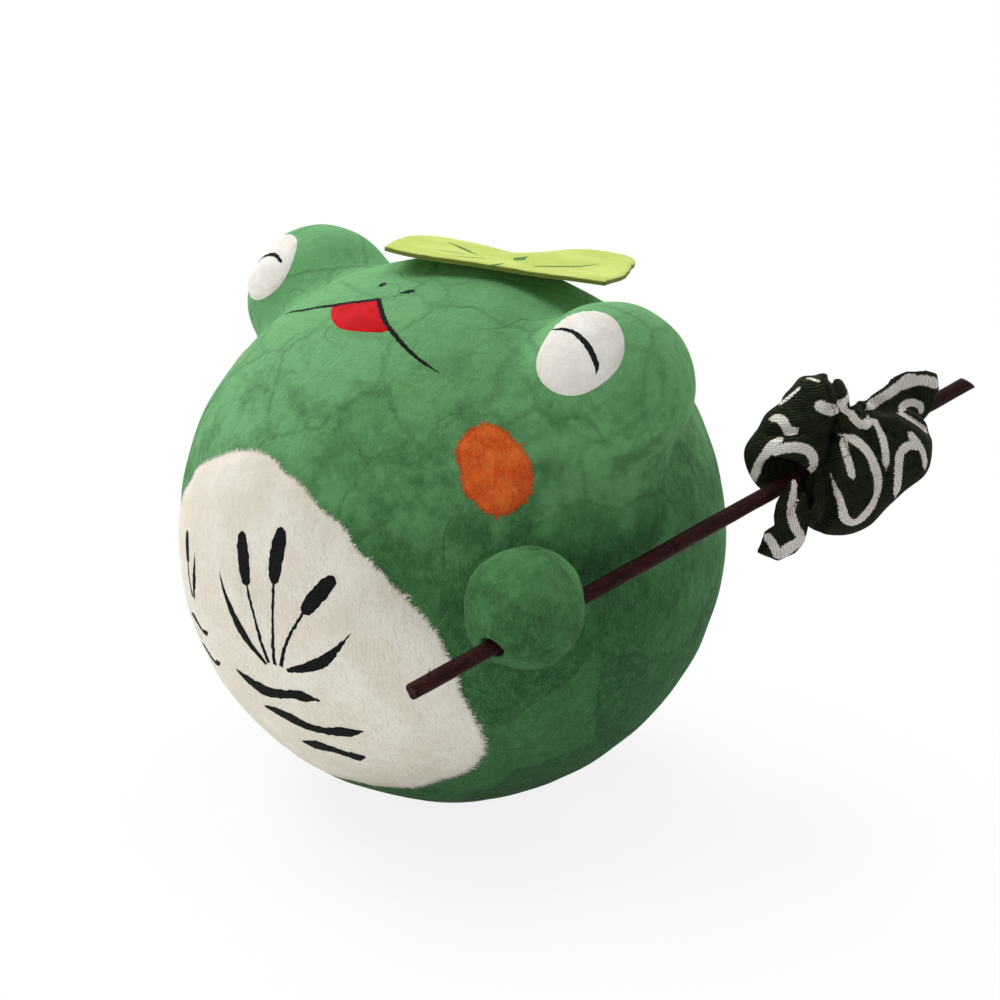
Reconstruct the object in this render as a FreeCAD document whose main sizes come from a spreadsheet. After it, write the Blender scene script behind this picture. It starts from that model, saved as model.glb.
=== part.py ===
import FreeCAD, Part
import math
import os

from FreeCAD import Placement, Rotation, Vector

# Round papier-mache frog with a leaf hat, carrying a cloth bundle on a stick.
# Millimetres. The frog looks along -Y and its left side is +X. +Z is up, and
# the origin is the middle of the face that it stands on.

doc = FreeCAD.newDocument("round_frog")

# Driving dimensions

SIZES = {
    # ball of the body, with its flat bottom
    "body_radius": 44.0,
    "body_wall": 1.6,
    "base_radius": 14.0,
    "disc_radius": 13.6,
    "disc_thickness": 0.8,
    # eye domes: turned outward from the front, raised, and standing off the ball
    "eye_outward_angle": 93.1,
    "eye_upward_angle": 42.9,
    "eye_stand_off": 1.8,
    "eye_radius": 12.6,
    "crease_radius": 3.0,
    # coloured paper pasted on the body; the belly and the mouth keep their angles on the ball
    "paper_thickness": 0.3,
    "eye_patch_radius": 7.05,
    "eye_patch_outward_angle": 8.0,
    "eye_patch_upward_angle": 41.5,
    "right_eye_patch_radius": 6.2,
    "right_eye_patch_outward_angle": 20.0,
    "right_eye_patch_upward_angle": 37.0,
    "cheek_half_width": 4.9,
    "cheek_half_length": 6.5,
    "cheek_outward_angle": 57.0,
    "cheek_upward_angle": 31.5,
    "cheek_lean_angle": 14.0,
    "right_cheek_outward_angle": 63.0,
    "belly_half_angle": 47.4,
    "belly_top_angle": 29.25,
    "belly_widest_angle": -15.0,
    "belly_bottom_angle": -50.2,
    "mouth_peak_angle": 20.6,
    "mouth_half_width": 7.2,
    "mouth_arm_drop": 3.6,
    "mouth_arm_bow": 0.43,
    "mouth_depth": 6.7,
    # hand, placed like the eye domes
    "hand_radius": 9.0,
    "hand_outward_angle": 60.0,
    "hand_upward_angle": 5.9,
    "hand_stand_off": 4.5,
    "hand_hole_diameter": 3.1,
    # stick, placed from the middle of the hand
    "stick_diameter": 2.5,
    "stick_length": 114.0,
    "stick_front": 22.9,
    "stick_outward": 2.2,
    "stick_below": 1.7,
    "stick_yaw_angle": 6.4,
    "stick_rise_angle": 12.8,
    "stick_end_slant_angle": 38.0,
    # leaf on the head, tilted back
    "leaf_length": 47.0,
    "leaf_thickness": 0.8,
    "leaf_tilt_angle": 10.0,
    # bundle, placed along the stick
    "bundle_length": 38.0,
    "bundle_place": 85.0,
    "bundle_clearance": 0.2,
    "bundle_grip": 1.15,
    "loose_end_thickness": 1.8,
    "fold_depth": 0.5,
    "fold_twist_angle": 261.0,
}

sheet = doc.addObject("Spreadsheet::Sheet", "Sizes")
for line, (alias, value) in enumerate(SIZES.items(), start=1):
    sheet.set("A%d" % line, alias)
    sheet.set("B%d" % line, str(value))
    sheet.setAlias("B%d" % line, alias)
doc.recompute()


def size(alias):
    """Value of one driving dimension, as the sheet holds it."""
    return float(sheet.get(alias))


def add(kind, name, placement=None, **bound):
    """New object whose properties follow expressions of the sheet."""
    made = doc.addObject(kind, name)
    for prop, expression in bound.items():
        made.setExpression(prop, expression)
    if placement is not None:
        made.Placement = placement
    return made


def shaped(name, shape, placement=None):
    """New object that holds a shape worked out here."""
    made = doc.addObject("Part::Feature", name)
    made.Shape = shape
    if placement is not None:
        made.Placement = placement
    return made


def cut(name, base, tool):
    made = doc.addObject("Part::Cut", name)
    made.Base = base
    made.Tool = tool
    return made


def common(name, base, tool):
    made = doc.addObject("Part::Common", name)
    made.Base = base
    made.Tool = tool
    return made


def fuse(name, pieces):
    made = doc.addObject("Part::MultiFuse", name)
    made.Shapes = pieces
    return made


def at(point, x_axis=Vector(1, 0, 0), z_axis=Vector(0, 0, 1)):
    """Placement with its own X and Z pointing along two directions."""
    y_axis = z_axis.cross(x_axis)
    return Placement(point, Rotation(x_axis, y_axis, z_axis, "ZXY"))


def outward_direction(outward, upward):
    """Direction turned from the frog's front to its left, then raised, in degrees."""
    turn = math.radians(outward)
    lift = math.radians(upward)
    return Vector(math.sin(turn) * math.cos(lift), -math.cos(turn) * math.cos(lift), math.sin(lift))


# Middle of the ball, above the face that the frog stands on

ball_height = size("disc_thickness") + math.sqrt(size("body_radius") ** 2 - size("base_radius") ** 2)
ball_centre = Vector(0, 0, ball_height)


def beside_ball(outward, upward, stand_off):
    """Point that stands off the ball's surface in one direction."""
    return ball_centre + outward_direction(outward, upward) * (size("body_radius") + stand_off)


def across_mirror(vector):
    """The same place or direction on the frog's other side."""
    return Vector(-vector.x, vector.y, vector.z)


eye_centre = beside_ball(size("eye_outward_angle"), size("eye_upward_angle"), size("eye_stand_off"))


# Body: a hollow ball with two eye domes, open under the base disc

def domed_ball(name, growth, crease):
    """Ball and eye domes grown by a named size, with the creases between them rounded."""
    ball = add("Part::Sphere", name + "_ball", at(ball_centre), Radius="Sizes.body_radius" + growth)
    domes = [
        add("Part::Sphere", name + "_dome_" + side, at(centre), Radius="Sizes.eye_radius" + growth)
        for side, centre in (("left", eye_centre), ("right", across_mirror(eye_centre)))
    ]
    joined = fuse(name + "_joined", [ball] + domes)
    joined.Refine = True
    doc.recompute()
    creases = [
        (index, crease, crease)
        for index, edge in enumerate(joined.Shape.Edges, start=1)
        if not edge.Degenerated and isinstance(edge.Curve, Part.Circle) and edge.Closed
    ]
    rounded = doc.addObject("Part::Fillet", name)
    rounded.Base = joined
    rounded.Edges = creases
    doc.recompute()
    return rounded


crease = size("crease_radius")
wall = size("body_wall")
paper = size("paper_thickness")
outside = domed_ball("outside", "", crease)
inside = domed_ball("inside", " - Sizes.body_wall", crease + wall)
paper_outside = domed_ball("paper_outside", " + Sizes.paper_thickness", crease - paper)

ground = add(
    "Part::Box",
    "ground",
    Length="4 * Sizes.body_radius",
    Width="4 * Sizes.body_radius",
    Height="Sizes.body_radius",
)
ground.setExpression("Placement.Base.x", "-2 * Sizes.body_radius")
ground.setExpression("Placement.Base.y", "-2 * Sizes.body_radius")
ground.setExpression("Placement.Base.z", "Sizes.disc_thickness - Sizes.body_radius")

body_shell = cut("body_shell", cut("standing_ball", outside, ground), inside)
base_disc = add("Part::Cylinder", "base_disc", Radius="Sizes.disc_radius", Height="Sizes.disc_thickness")


# Coloured paper: one thin layer over the whole body, from which each patch is cut

paper_layer = cut("paper_layer", paper_outside, outside)


def from_axis(alias):
    """Distance from the ball's middle plane of a point at one angle on the ball."""
    return size("body_radius") * math.sin(math.radians(size(alias)))


def egg_outline():
    """Closed outline of the belly patch about the ball's middle, wider and flatter below."""
    half_width = from_axis("belly_half_angle")
    top = from_axis("belly_top_angle")
    widest = from_axis("belly_widest_angle")
    bottom = from_axis("belly_bottom_angle")
    shoulder_power = 1.3
    bottom_power = 0.65
    steps = 16
    points = []
    for step in range(2 * steps):
        angle = math.pi * step / steps
        across, up = math.sin(angle), math.cos(angle)
        side = math.copysign(1, across)
        if up >= 0:
            x = half_width * side * abs(across) ** shoulder_power
            z = widest + (top - widest) * up
        else:
            x = half_width * across
            z = widest - (widest - bottom) * abs(up) ** bottom_power
        points.append(Vector(x, 0, z))
    curve = Part.BSplineCurve()
    curve.interpolate(Points=points, PeriodicFlag=True)
    return Part.Face(Part.Wire([curve.toShape()]))


def punch(name, face_shape, placement, direction, length):
    """Straight cutter: a flat outline pushed along one direction."""
    face = shaped(name + "_outline", face_shape, placement)
    made = add("Part::Extrusion", name, LengthFwd=length)
    made.Base = face
    made.DirMode = "Custom"
    made.Dir = direction
    made.Solid = True
    return made


belly_punch = punch("belly_punch", egg_outline(), at(ball_centre), Vector(0, -1, 0), "2 * Sizes.body_radius")
belly_patch = common("belly_patch", paper_layer, belly_punch)


def eye_patch(side, centre, direction, radius):
    """Round white paper on the front of one eye dome, with a named radius."""
    across = Vector(0, 0, 1).cross(direction).normalize()
    eye_punch = add(
        "Part::Cylinder",
        side + "_eye_punch",
        at(centre, across, direction),
        Radius=radius,
        Height="2 * Sizes.eye_radius",
    )
    return common(side + "_eye_patch", paper_layer, eye_punch)


# The right eye's paper is cut smaller than the left one's, looks further outward and sits lower

left_eye_way = outward_direction(size("eye_patch_outward_angle"), size("eye_patch_upward_angle"))
right_eye_way = across_mirror(
    outward_direction(size("right_eye_patch_outward_angle"), size("right_eye_patch_upward_angle"))
)
left_eye_patch = eye_patch("left", eye_centre, left_eye_way, "Sizes.eye_patch_radius")
right_eye_patch = eye_patch(
    "right", across_mirror(eye_centre), right_eye_way, "Sizes.right_eye_patch_radius",
)


def oval(half_width, half_length):
    """Flat oval in the XY plane, long along Y."""
    if half_length >= half_width:
        edge = Part.Ellipse(Vector(0, half_length, 0), Vector(half_width, 0, 0), Vector(0, 0, 0)).toShape()
    else:
        edge = Part.Ellipse(Vector(half_width, 0, 0), Vector(0, half_length, 0), Vector(0, 0, 0)).toShape()
    return Part.Face(Part.Wire([edge]))


def cheek_patch(side, direction, lean):
    """Oval orange paper on one cheek, leaning outward at its lower end."""
    across = Vector(0, 0, 1).cross(direction).normalize()
    cheek_punch = punch(
        side + "_cheek_punch",
        oval(size("cheek_half_width"), size("cheek_half_length")),
        at(ball_centre, Rotation(direction, lean).multVec(across), direction),
        direction,
        "2 * Sizes.body_radius",
    )
    return common(side + "_cheek_patch", paper_layer, cheek_punch)


# The right cheek's paper is pasted further round the side than the left one's

cheek_rise = size("cheek_upward_angle")
cheek_lean = size("cheek_lean_angle")
left_cheek_way = outward_direction(size("cheek_outward_angle"), cheek_rise)
right_cheek_way = across_mirror(outward_direction(size("right_cheek_outward_angle"), cheek_rise))
left_cheek_patch = cheek_patch("left", left_cheek_way, cheek_lean)
right_cheek_patch = cheek_patch("right", right_cheek_way, -cheek_lean)


def mouth_outline():
    """Open mouth seen from above: a peak towards the nostrils and a round lower lip."""
    half_width = size("mouth_half_width")
    bow = size("mouth_arm_bow")
    peak = Vector(0, -from_axis("mouth_peak_angle"), 0)
    left = peak + Vector(half_width, -size("mouth_arm_drop"), 0)
    right = Vector(-left.x, left.y, 0)
    chin = peak + Vector(0, -size("mouth_depth"), 0)
    left_middle = (peak + left) * 0.5 + Vector(-bow, bow, 0)
    right_middle = Vector(-left_middle.x, left_middle.y, 0)
    edges = [
        Part.Arc(peak, left_middle, left).toShape(),
        Part.Arc(left, chin, right).toShape(),
        Part.Arc(right, right_middle, peak).toShape(),
    ]
    return Part.Face(Part.Wire(edges))


mouth_punch = punch("mouth_punch", mouth_outline(), at(ball_centre), Vector(0, 0, 1), "2 * Sizes.body_radius")
mouth_patch = common("mouth_patch", paper_layer, mouth_punch)


# Hand: a ball seated on the frog's left side, with a hole for the stick

hand_centre = beside_ball(size("hand_outward_angle"), size("hand_upward_angle"), size("hand_stand_off"))
stick_yaw = math.radians(size("stick_yaw_angle"))
stick_rise = math.radians(size("stick_rise_angle"))
stick_along = Vector(
    math.sin(stick_yaw) * math.cos(stick_rise),
    math.cos(stick_yaw) * math.cos(stick_rise),
    math.sin(stick_rise),
)
stick_side = Vector(math.cos(stick_yaw), -math.sin(stick_yaw), 0)
stick_up = stick_side.cross(stick_along)
stick_start = (
    hand_centre
    + stick_side * size("stick_outward")
    - stick_up * size("stick_below")
    - stick_along * size("stick_front")
)
stick_frame = at(stick_start, stick_side, stick_along)

hand_ball = add("Part::Sphere", "hand_ball", at(hand_centre), Radius="Sizes.hand_radius")
hand_hole = add(
    "Part::Cylinder",
    "hand_hole",
    stick_frame,
    Radius="Sizes.hand_hole_diameter / 2",
    Height="2 * Sizes.stick_front",
)
left_hand = cut("left_hand", cut("seated_hand", hand_ball, outside), hand_hole)


# Stick: round, cut off slanting at its far end

stick_rod = add(
    "Part::Cylinder",
    "stick_rod",
    stick_frame,
    Radius="Sizes.stick_diameter / 2",
    Height="Sizes.stick_length",
)
slant = Rotation(stick_side, size("stick_end_slant_angle"))
slant_normal = slant.multVec(stick_along)
stick_tip = stick_start + stick_along * (size("stick_length") - size("stick_diameter") / 2)
slant_block = add(
    "Part::Cylinder",
    "slant_block",
    at(stick_tip, stick_side, slant_normal),
    Radius="4 * Sizes.stick_diameter",
    Height="4 * Sizes.stick_diameter",
)
carrying_stick = cut("carrying_stick", stick_rod, slant_block)


# Leaf hat: a flat notched leaf of thick paper that touches the top of the head.
# Its outline is set about the place where it touches, in shares of the leaf's length.

LEAF_NOTCH = (-0.043, 0.157)
LEAF_FRONT_TIP = (-0.132, -0.349)
LEAF_POINT = (0.515, 0.043)
LEAF_BACK_TIP = (0.23, 0.472)
LEAF_FRONT_LOBE = [LEAF_NOTCH, (-0.213, 0.17), (-0.345, 0.072), (-0.302, -0.115), LEAF_FRONT_TIP]
LEAF_NEAR_EDGE = [LEAF_FRONT_TIP, (-0.026, -0.332), (0.123, -0.217), (0.302, -0.094), LEAF_POINT]
LEAF_FAR_EDGE = [LEAF_POINT, (0.413, 0.226), LEAF_BACK_TIP]
LEAF_BACK_LOBE = [LEAF_BACK_TIP, (0.119, 0.604), (0.009, 0.651), (-0.051, 0.583), (-0.064, 0.391), LEAF_NOTCH]


def leaf_outline():
    """Notched leaf: two round lobes beside the notch and a blunt point across from it."""
    edges = []
    for stretch in (LEAF_FRONT_LOBE, LEAF_NEAR_EDGE, LEAF_FAR_EDGE, LEAF_BACK_LOBE):
        curve = Part.BSplineCurve()
        curve.interpolate(Points=[Vector(x, y, 0) * size("leaf_length") for x, y in stretch])
        edges.append(curve.toShape())
    return Part.Face(Part.Wire(edges))


leaf_tilt = math.radians(size("leaf_tilt_angle"))
leaf_normal = Vector(0, math.sin(leaf_tilt), math.cos(leaf_tilt))
leaf_seat = ball_centre + leaf_normal * size("body_radius")
leaf_hat = punch(
    "leaf_hat",
    leaf_outline(),
    at(leaf_seat, Vector(1, 0, 0), leaf_normal),
    leaf_normal,
    "Sizes.leaf_thickness",
)


# Bundle: a wrapping cloth knotted round the stick, with two loose ends.
# Its forms are set beside the stick, in shares of the bundle's length.

bundle_centre = stick_start + stick_along * size("bundle_place")
bundle_length = size("bundle_length")


def on_bundle(along, side, up):
    """Point beside the stick, measured from the middle of the bundle."""
    return bundle_centre + stick_along * along + stick_side * side + stick_up * up


# Puffs of the wrapped cloth round the stick: middle (along, side, up), then radius
BAG_BY_KNOT = (-0.066, 0.039, -0.068, 0.253)
BAG_END = (0.253, 0.026, -0.058, 0.247)
FRONT_LOOP = (-0.274, 0.039, 0.147, 0.232)
TOP_LOOP = (-0.105, 0.039, 0.263, 0.137)

# Loose ends of the cloth: corners (along, up), distance beside the stick, facing direction
REAR_END = [(0.0, 0.2), (0.3, 0.24), (0.54, 0.2), (0.57, 0.07), (0.42, -0.05), (0.05, 0.06)]
FRONT_END = [(-0.21, 0.08), (-0.38, 0.07), (-0.46, -0.02), (-0.57, -0.09), (-0.48, -0.22), (-0.3, -0.22)]
LOOSE_ENDS = {
    "rear_end": (REAR_END, 0.032, (0.05, 1.0, 0.1)),
    "front_end": (FRONT_END, 0.121, (0.25, 1.0, 0.35)),
}

# Gathers of the wrapped cloth, and where along the bundle its outline is set
FOLDS = 7
STATIONS = [-0.5, -0.463, -0.384, -0.279, -0.174, -0.068, 0.042, 0.153, 0.263, 0.368, 0.453, 0.495]

# Radius of the gathered cloth where it grips the stick at both ends of the bundle
grip_radius = size("stick_diameter") / 2 + size("bundle_clearance") + size("bundle_grip")


def puff_reach(station, angle):
    """Distance from the stick to the cloth in one direction, across one puff after another."""
    side, up = math.cos(angle), math.sin(angle)
    sharpness = 8
    total = grip_radius ** sharpness
    for puff in (BAG_BY_KNOT, BAG_END, FRONT_LOOP, TOP_LOOP):
        puff_along, puff_side, puff_up, radius = [share * bundle_length for share in puff]
        slice_square = radius ** 2 - (station - puff_along) ** 2
        middle = side * puff_side + up * puff_up
        inside_root = middle ** 2 - puff_side ** 2 - puff_up ** 2 + slice_square
        if slice_square > 0 and inside_root > 0:
            reach = middle + math.sqrt(inside_root)
            total += max(reach, 0) ** sharpness
    return total ** (1 / sharpness)


def wrap_section(share):
    """Closed outline of the wrapped cloth across the stick, with a soft ridge for each fold."""
    station = share * bundle_length
    twist = share * math.radians(size("fold_twist_angle"))
    steps = 4 * FOLDS
    points = []
    for step in range(steps):
        angle = 2 * math.pi * step / steps
        ridge = size("fold_depth") * math.cos(FOLDS * angle + twist)
        reach = max(puff_reach(station, angle) + ridge, grip_radius)
        points.append(on_bundle(station, reach * math.cos(angle), reach * math.sin(angle)))
    curve = Part.BSplineCurve()
    curve.interpolate(Points=points, PeriodicFlag=True)
    return Part.Wire([curve.toShape()])


def loose_end(name, corners, beside, facing):
    """Loose end of the cloth: a doubled sheet that widens to its hem."""
    along, side, up = facing
    normal = (stick_along * along + stick_side * side + stick_up * up).normalize()
    length_axis = (stick_along - normal * stick_along.dot(normal)).normalize()
    points = [Vector(along_share, up_share, 0) * bundle_length for along_share, up_share in corners]
    face = Part.Face(Part.makePolygon(points + points[:1]))
    made = face.extrude(Vector(0, 0, size("loose_end_thickness")))
    return shaped(name, made, at(on_bundle(0, beside * bundle_length, 0), length_axis, normal))


wrap_sections = [wrap_section(share) for share in STATIONS]
is_solid, is_ruled = True, True
wrapped_cloth = shaped("wrapped_cloth", Part.makeLoft(wrap_sections, is_solid, is_ruled))
loose_ends = [loose_end(name, *form) for name, form in LOOSE_ENDS.items()]
bundle_cloth = fuse("bundle_cloth", [wrapped_cloth] + loose_ends)
bundle_channel = add(
    "Part::Cylinder",
    "bundle_channel",
    stick_frame,
    Radius="Sizes.stick_diameter / 2 + Sizes.bundle_clearance",
    Height="2 * Sizes.stick_length",
)
cloth_bundle = cut("cloth_bundle", bundle_cloth, bundle_channel)

doc.recompute()

# Check every object, then write one file for each piece

PIECES = {
    "body_shell": body_shell,
    "base_disc": base_disc,
    "left_hand": left_hand,
    "belly_patch": belly_patch,
    "left_eye_patch": left_eye_patch,
    "right_eye_patch": right_eye_patch,
    "left_cheek_patch": left_cheek_patch,
    "right_cheek_patch": right_cheek_patch,
    "mouth_patch": mouth_patch,
    "leaf_hat": leaf_hat,
    "carrying_stick": carrying_stick,
    "cloth_bundle": cloth_bundle,
}

for made in doc.Objects:
    if "Invalid" in made.State or "Error" in made.State:
        raise RuntimeError("%s could not be built: %s" % (made.Name, made.State))

os.makedirs("parts", exist_ok=True)
for node, piece in PIECES.items():
    piece.Label = node
    shape = piece.Shape
    if shape.isNull() or not shape.isValid() or not shape.Solids:
        raise RuntimeError("%s has no valid solid" % node)
    print("%-18s solids %d  volume %.1f mm3" % (node, len(shape.Solids), shape.Volume))
    shape.exportStep("parts/%s.step" % node)
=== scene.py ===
import math
from collections import namedtuple

import bmesh
import bpy
import numpy as np
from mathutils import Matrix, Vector, geometry


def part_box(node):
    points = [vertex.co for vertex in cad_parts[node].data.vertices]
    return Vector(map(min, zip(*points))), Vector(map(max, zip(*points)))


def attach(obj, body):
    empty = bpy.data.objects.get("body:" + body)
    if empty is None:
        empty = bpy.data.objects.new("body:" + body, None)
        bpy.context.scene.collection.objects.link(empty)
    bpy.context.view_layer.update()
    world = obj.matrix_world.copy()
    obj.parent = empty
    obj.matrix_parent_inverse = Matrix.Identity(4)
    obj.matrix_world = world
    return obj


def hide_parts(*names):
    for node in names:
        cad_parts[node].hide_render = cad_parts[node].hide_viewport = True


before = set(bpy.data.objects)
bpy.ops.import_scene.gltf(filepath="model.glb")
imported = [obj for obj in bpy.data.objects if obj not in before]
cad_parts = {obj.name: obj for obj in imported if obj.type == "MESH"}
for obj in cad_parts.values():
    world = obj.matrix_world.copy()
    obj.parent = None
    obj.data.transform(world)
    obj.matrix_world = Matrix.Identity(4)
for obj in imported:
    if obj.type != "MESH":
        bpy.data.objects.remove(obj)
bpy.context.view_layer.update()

# Round papier-mache frog with a leaf hat, carrying a cloth bundle on a stick.
# Lengths in this script are millimetres; meshes are scaled to metres when they are made.
# The frog looks along -Y, its left side is +X, +Z is up.

MILLIMETRE = 0.001

# How fine the closed meshes are
BODY_CELL, HAND_CELL, BUNDLE_CELL = 0.7, 0.42, 0.3

# Body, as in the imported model
BALL_RADIUS = 44.0
BASE_RADIUS = 14.0
SHELL_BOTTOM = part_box("body_shell")[0].z / MILLIMETRE
BALL_CENTRE = np.array([0.0, 0.0, SHELL_BOTTOM + math.sqrt(BALL_RADIUS ** 2 - BASE_RADIUS ** 2)])
EYE_RADIUS = 12.6
EYE_STAND_OFF = 1.8
EYE_OUTWARD, EYE_UPWARD = 93.1, 42.9
CREASE_BLEND = 5.0
BASE_BLEND = 1.2

# Coloured paper; the green paper is painted paler towards the frog's top and darker below it, as painted
# light and shade
PAINTED_LIGHT_SIDE = np.array([-0.15, 0.1, 0.95])
PIECE_SIZE = 17.0
PAPER_LIFT = 0.28
THIN_EDGE = 0.02
MOUTH_LIFT = 0.12
INK_LIFT = 0.03
INK_STEP = 0.15
LEFT_EYE_PATCH_RADIUS, RIGHT_EYE_PATCH_RADIUS = 7.05, 6.2
LEFT_EYE_OUTWARD, LEFT_EYE_UPWARD = 8.0, 41.5
RIGHT_EYE_OUTWARD, RIGHT_EYE_UPWARD = 20.0, 37.0
CHEEK_HALF_WIDTH, CHEEK_HALF_LENGTH = 4.9, 6.5
LEFT_CHEEK_OUTWARD, RIGHT_CHEEK_OUTWARD = 57.0, 63.0
CHEEK_UPWARD, CHEEK_LEAN = 31.5, 14.0
BELLY_HALF_ANGLE, BELLY_TOP_ANGLE = 47.4, 29.25
BELLY_WIDEST_ANGLE, BELLY_BOTTOM_ANGLE = -15.0, -50.2

# Hand and stick
HAND_RADIUS = 9.0
HAND_OUTWARD, HAND_UPWARD, HAND_STAND_OFF = 60.0, 5.9, 4.5
HAND_HOLE_RADIUS = 1.7
STICK_DIAMETER, STICK_LENGTH = 2.5, 114.0
STICK_FRONT, STICK_OUTWARD, STICK_BELOW = 22.9, 2.2, 1.7
STICK_YAW, STICK_RISE, STICK_END_SLANT = 6.4, 12.8, 38.0

# Leaf and bundle
LEAF_LENGTH, LEAF_THICKNESS, LEAF_TILT = 47.0, 0.8, 10.0
BUNDLE_PLACE, BUNDLE_HOLE_GAP = 85.0, 0.12
RIB_SPACING = 0.36
BRUSH_SPREAD = 1.3
BUNDLE_FACE_OUTWARD, BUNDLE_FACE_UPWARD = 46.4, 19.6

# Camera: where the photograph was taken from, in metres
CAMERA_PLACE = Vector((0.3044, -0.2790, 0.1944))
CAMERA_AZIMUTH, CAMERA_ELEVATION = 46.43, 19.6
CAMERA_LENS, SENSOR_WIDTH = 97.79, 36.0

# Soft studio lamps: turned outward from the frog's front and raised in degrees, then how far away
# and how wide in metres, then watts
LAMPS = (
    ("key_lamp", -100.0, 35.0, 0.80, 0.50, 3.8),
    ("high_lamp", -60.0, 55.0, 0.80, 0.50, 2.2),
    ("top_lamp", 180.0, 78.0, 0.80, 0.50, 2.4),
    ("back_lamp", 180.0, 18.0, 0.80, 0.50, 2.2),
    ("rim_lamp", 128.0, 10.0, 0.80, 0.50, 0.9),
    ("front_lamp", 10.0, 10.0, 0.80, 0.50, 2.2),
)
WORLD_LIGHT = 0.11
FLOOR_WHITE = 0.86


def unit(vector):
    return vector / np.linalg.norm(vector)


def outward_direction(outward, upward):
    """Direction turned from the frog's front to its left, then raised, in degrees."""
    turn, lift = math.radians(outward), math.radians(upward)
    return np.array([math.sin(turn) * math.cos(lift), -math.cos(turn) * math.cos(lift), math.sin(lift)])


def across_mirror(vector):
    return vector * np.array([-1.0, 1.0, 1.0])


EYE_CENTRE = BALL_CENTRE + outward_direction(EYE_OUTWARD, EYE_UPWARD) * (BALL_RADIUS + EYE_STAND_OFF)
HAND_CENTRE = BALL_CENTRE + outward_direction(HAND_OUTWARD, HAND_UPWARD) * (BALL_RADIUS + HAND_STAND_OFF)

yaw, rise = math.radians(STICK_YAW), math.radians(STICK_RISE)
STICK_ALONG = np.array([math.sin(yaw) * math.cos(rise), math.cos(yaw) * math.cos(rise), math.sin(rise)])
STICK_SIDE = np.array([math.cos(yaw), -math.sin(yaw), 0.0])
STICK_UP = np.cross(STICK_SIDE, STICK_ALONG)
STICK_START = HAND_CENTRE + STICK_SIDE * STICK_OUTWARD - STICK_UP * STICK_BELOW - STICK_ALONG * STICK_FRONT
BUNDLE_CENTRE = STICK_START + STICK_ALONG * BUNDLE_PLACE


# Numbers that repeat from run to run

def random_source(seed):
    return np.random.default_rng(seed)


def waves(points, wavelength, seed, count=28):
    """Smooth random height over space, about one unit high, from plane waves of one size."""
    source = random_source(seed)
    directions = source.normal(size=(count, 3))
    directions /= np.linalg.norm(directions, axis=1)[:, None]
    rates = 2 * math.pi / wavelength * source.uniform(0.6, 1.4, count)
    phases = source.uniform(0, 2 * math.pi, count)
    return np.sin(points @ (directions * rates[:, None]).T + phases).sum(axis=1) * math.sqrt(2 / count)


# Distance functions and the meshes on them

def smooth_union(first, second, blend):
    mix = np.clip(0.5 + 0.5 * (second - first) / blend, 0, 1)
    return second * (1 - mix) + first * mix - blend * mix * (1 - mix)


def smooth_cut(kept, removed, blend):
    """What is inside the first form and outside the second, with a rounded rim."""
    return -smooth_union(-kept, removed, blend)


def ball(points, centre, radius):
    return np.linalg.norm(points - centre, axis=1) - radius


def capsule(points, start, end, radius):
    along = end - start
    share = np.clip((points - start) @ along / (along @ along), 0, 1)
    return np.linalg.norm(points - start - share[:, None] * along, axis=1) - radius


def slope_of(distance, points, step=0.02):
    """Direction in which a distance function grows fastest."""
    slope = np.empty_like(points)
    for axis in range(3):
        shift = np.zeros(3)
        shift[axis] = step
        slope[:, axis] = (distance(points + shift) - distance(points - shift)) / (2 * step)
    return slope / np.maximum(np.linalg.norm(slope, axis=1), 1e-9)[:, None]


def settle(points, distance, lift=0.0, rounds=4):
    """Points moved straight onto a surface, or above it by a lift."""
    for _ in range(rounds):
        points = points - slope_of(distance, points) * (distance(points) - lift)[:, None]
    return points


def surface_net(distance, low, high, cell):
    """Closed mesh of four-sided faces: one vertex in each cell of a grid that the surface crosses."""
    low = np.asarray(low, float)
    counts = np.ceil((np.asarray(high, float) - low) / cell).astype(int) + 1
    axes = [low[axis] + cell * np.arange(counts[axis]) for axis in range(3)]
    values = np.empty(counts)
    for index, x in enumerate(axes[0]):
        y, z = np.meshgrid(axes[1], axes[2], indexing="ij")
        layer = np.stack([np.full(y.size, x), y.ravel(), z.ravel()], axis=1)
        values[index] = distance(layer).reshape(counts[1:])
    cells = counts - 1
    total = np.zeros((*cells, 3))
    hits = np.zeros(cells)
    crossings = []
    for axis in range(3):
        ends = [slice(None)] * 3
        ends[axis] = slice(0, -1)
        first = values[tuple(ends)]
        ends[axis] = slice(1, None)
        second = values[tuple(ends)]
        crossing = (first < 0) != (second < 0)
        crossings.append((crossing, first < 0))
        share = np.where(crossing, first / np.where(crossing, first - second, 1), 0)
        others = [other for other in range(3) if other != axis]
        for corner in ((0, 0), (0, 1), (1, 0), (1, 1)):
            part = [slice(None)] * 3
            for other, offset in zip(others, corner):
                part[other] = slice(offset, offset + cells[other])
            found = crossing[tuple(part)]
            hits += found
            total[..., axis] += share[tuple(part)]
            for other, offset in zip(others, corner):
                total[..., other] += found * offset
    used = hits > 0
    number = np.full(cells, -1)
    number[used] = np.arange(used.sum())
    points = low + (np.argwhere(used) + total[used] / hits[used][:, None]) * cell
    faces = []
    for axis, (crossing, starts_inside) in enumerate(crossings):
        one, two = (axis + 1) % 3, (axis + 2) % 3
        place = np.argwhere(crossing)
        keep = (place[:, one] > 0) & (place[:, two] > 0)
        keep &= (place[:, one] < cells[one]) & (place[:, two] < cells[two])
        place = place[keep]
        inside = starts_inside[tuple(place.T)]
        corners = []
        for back_one, back_two in ((1, 1), (0, 1), (0, 0), (1, 0)):
            shifted = place.copy()
            shifted[:, one] -= back_one
            shifted[:, two] -= back_two
            corners.append(number[tuple(shifted.T)])
        quads = np.stack(corners, axis=1)
        quads[~inside] = quads[~inside][:, ::-1]
        faces.append(quads)
    return points, np.concatenate(faces)


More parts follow.
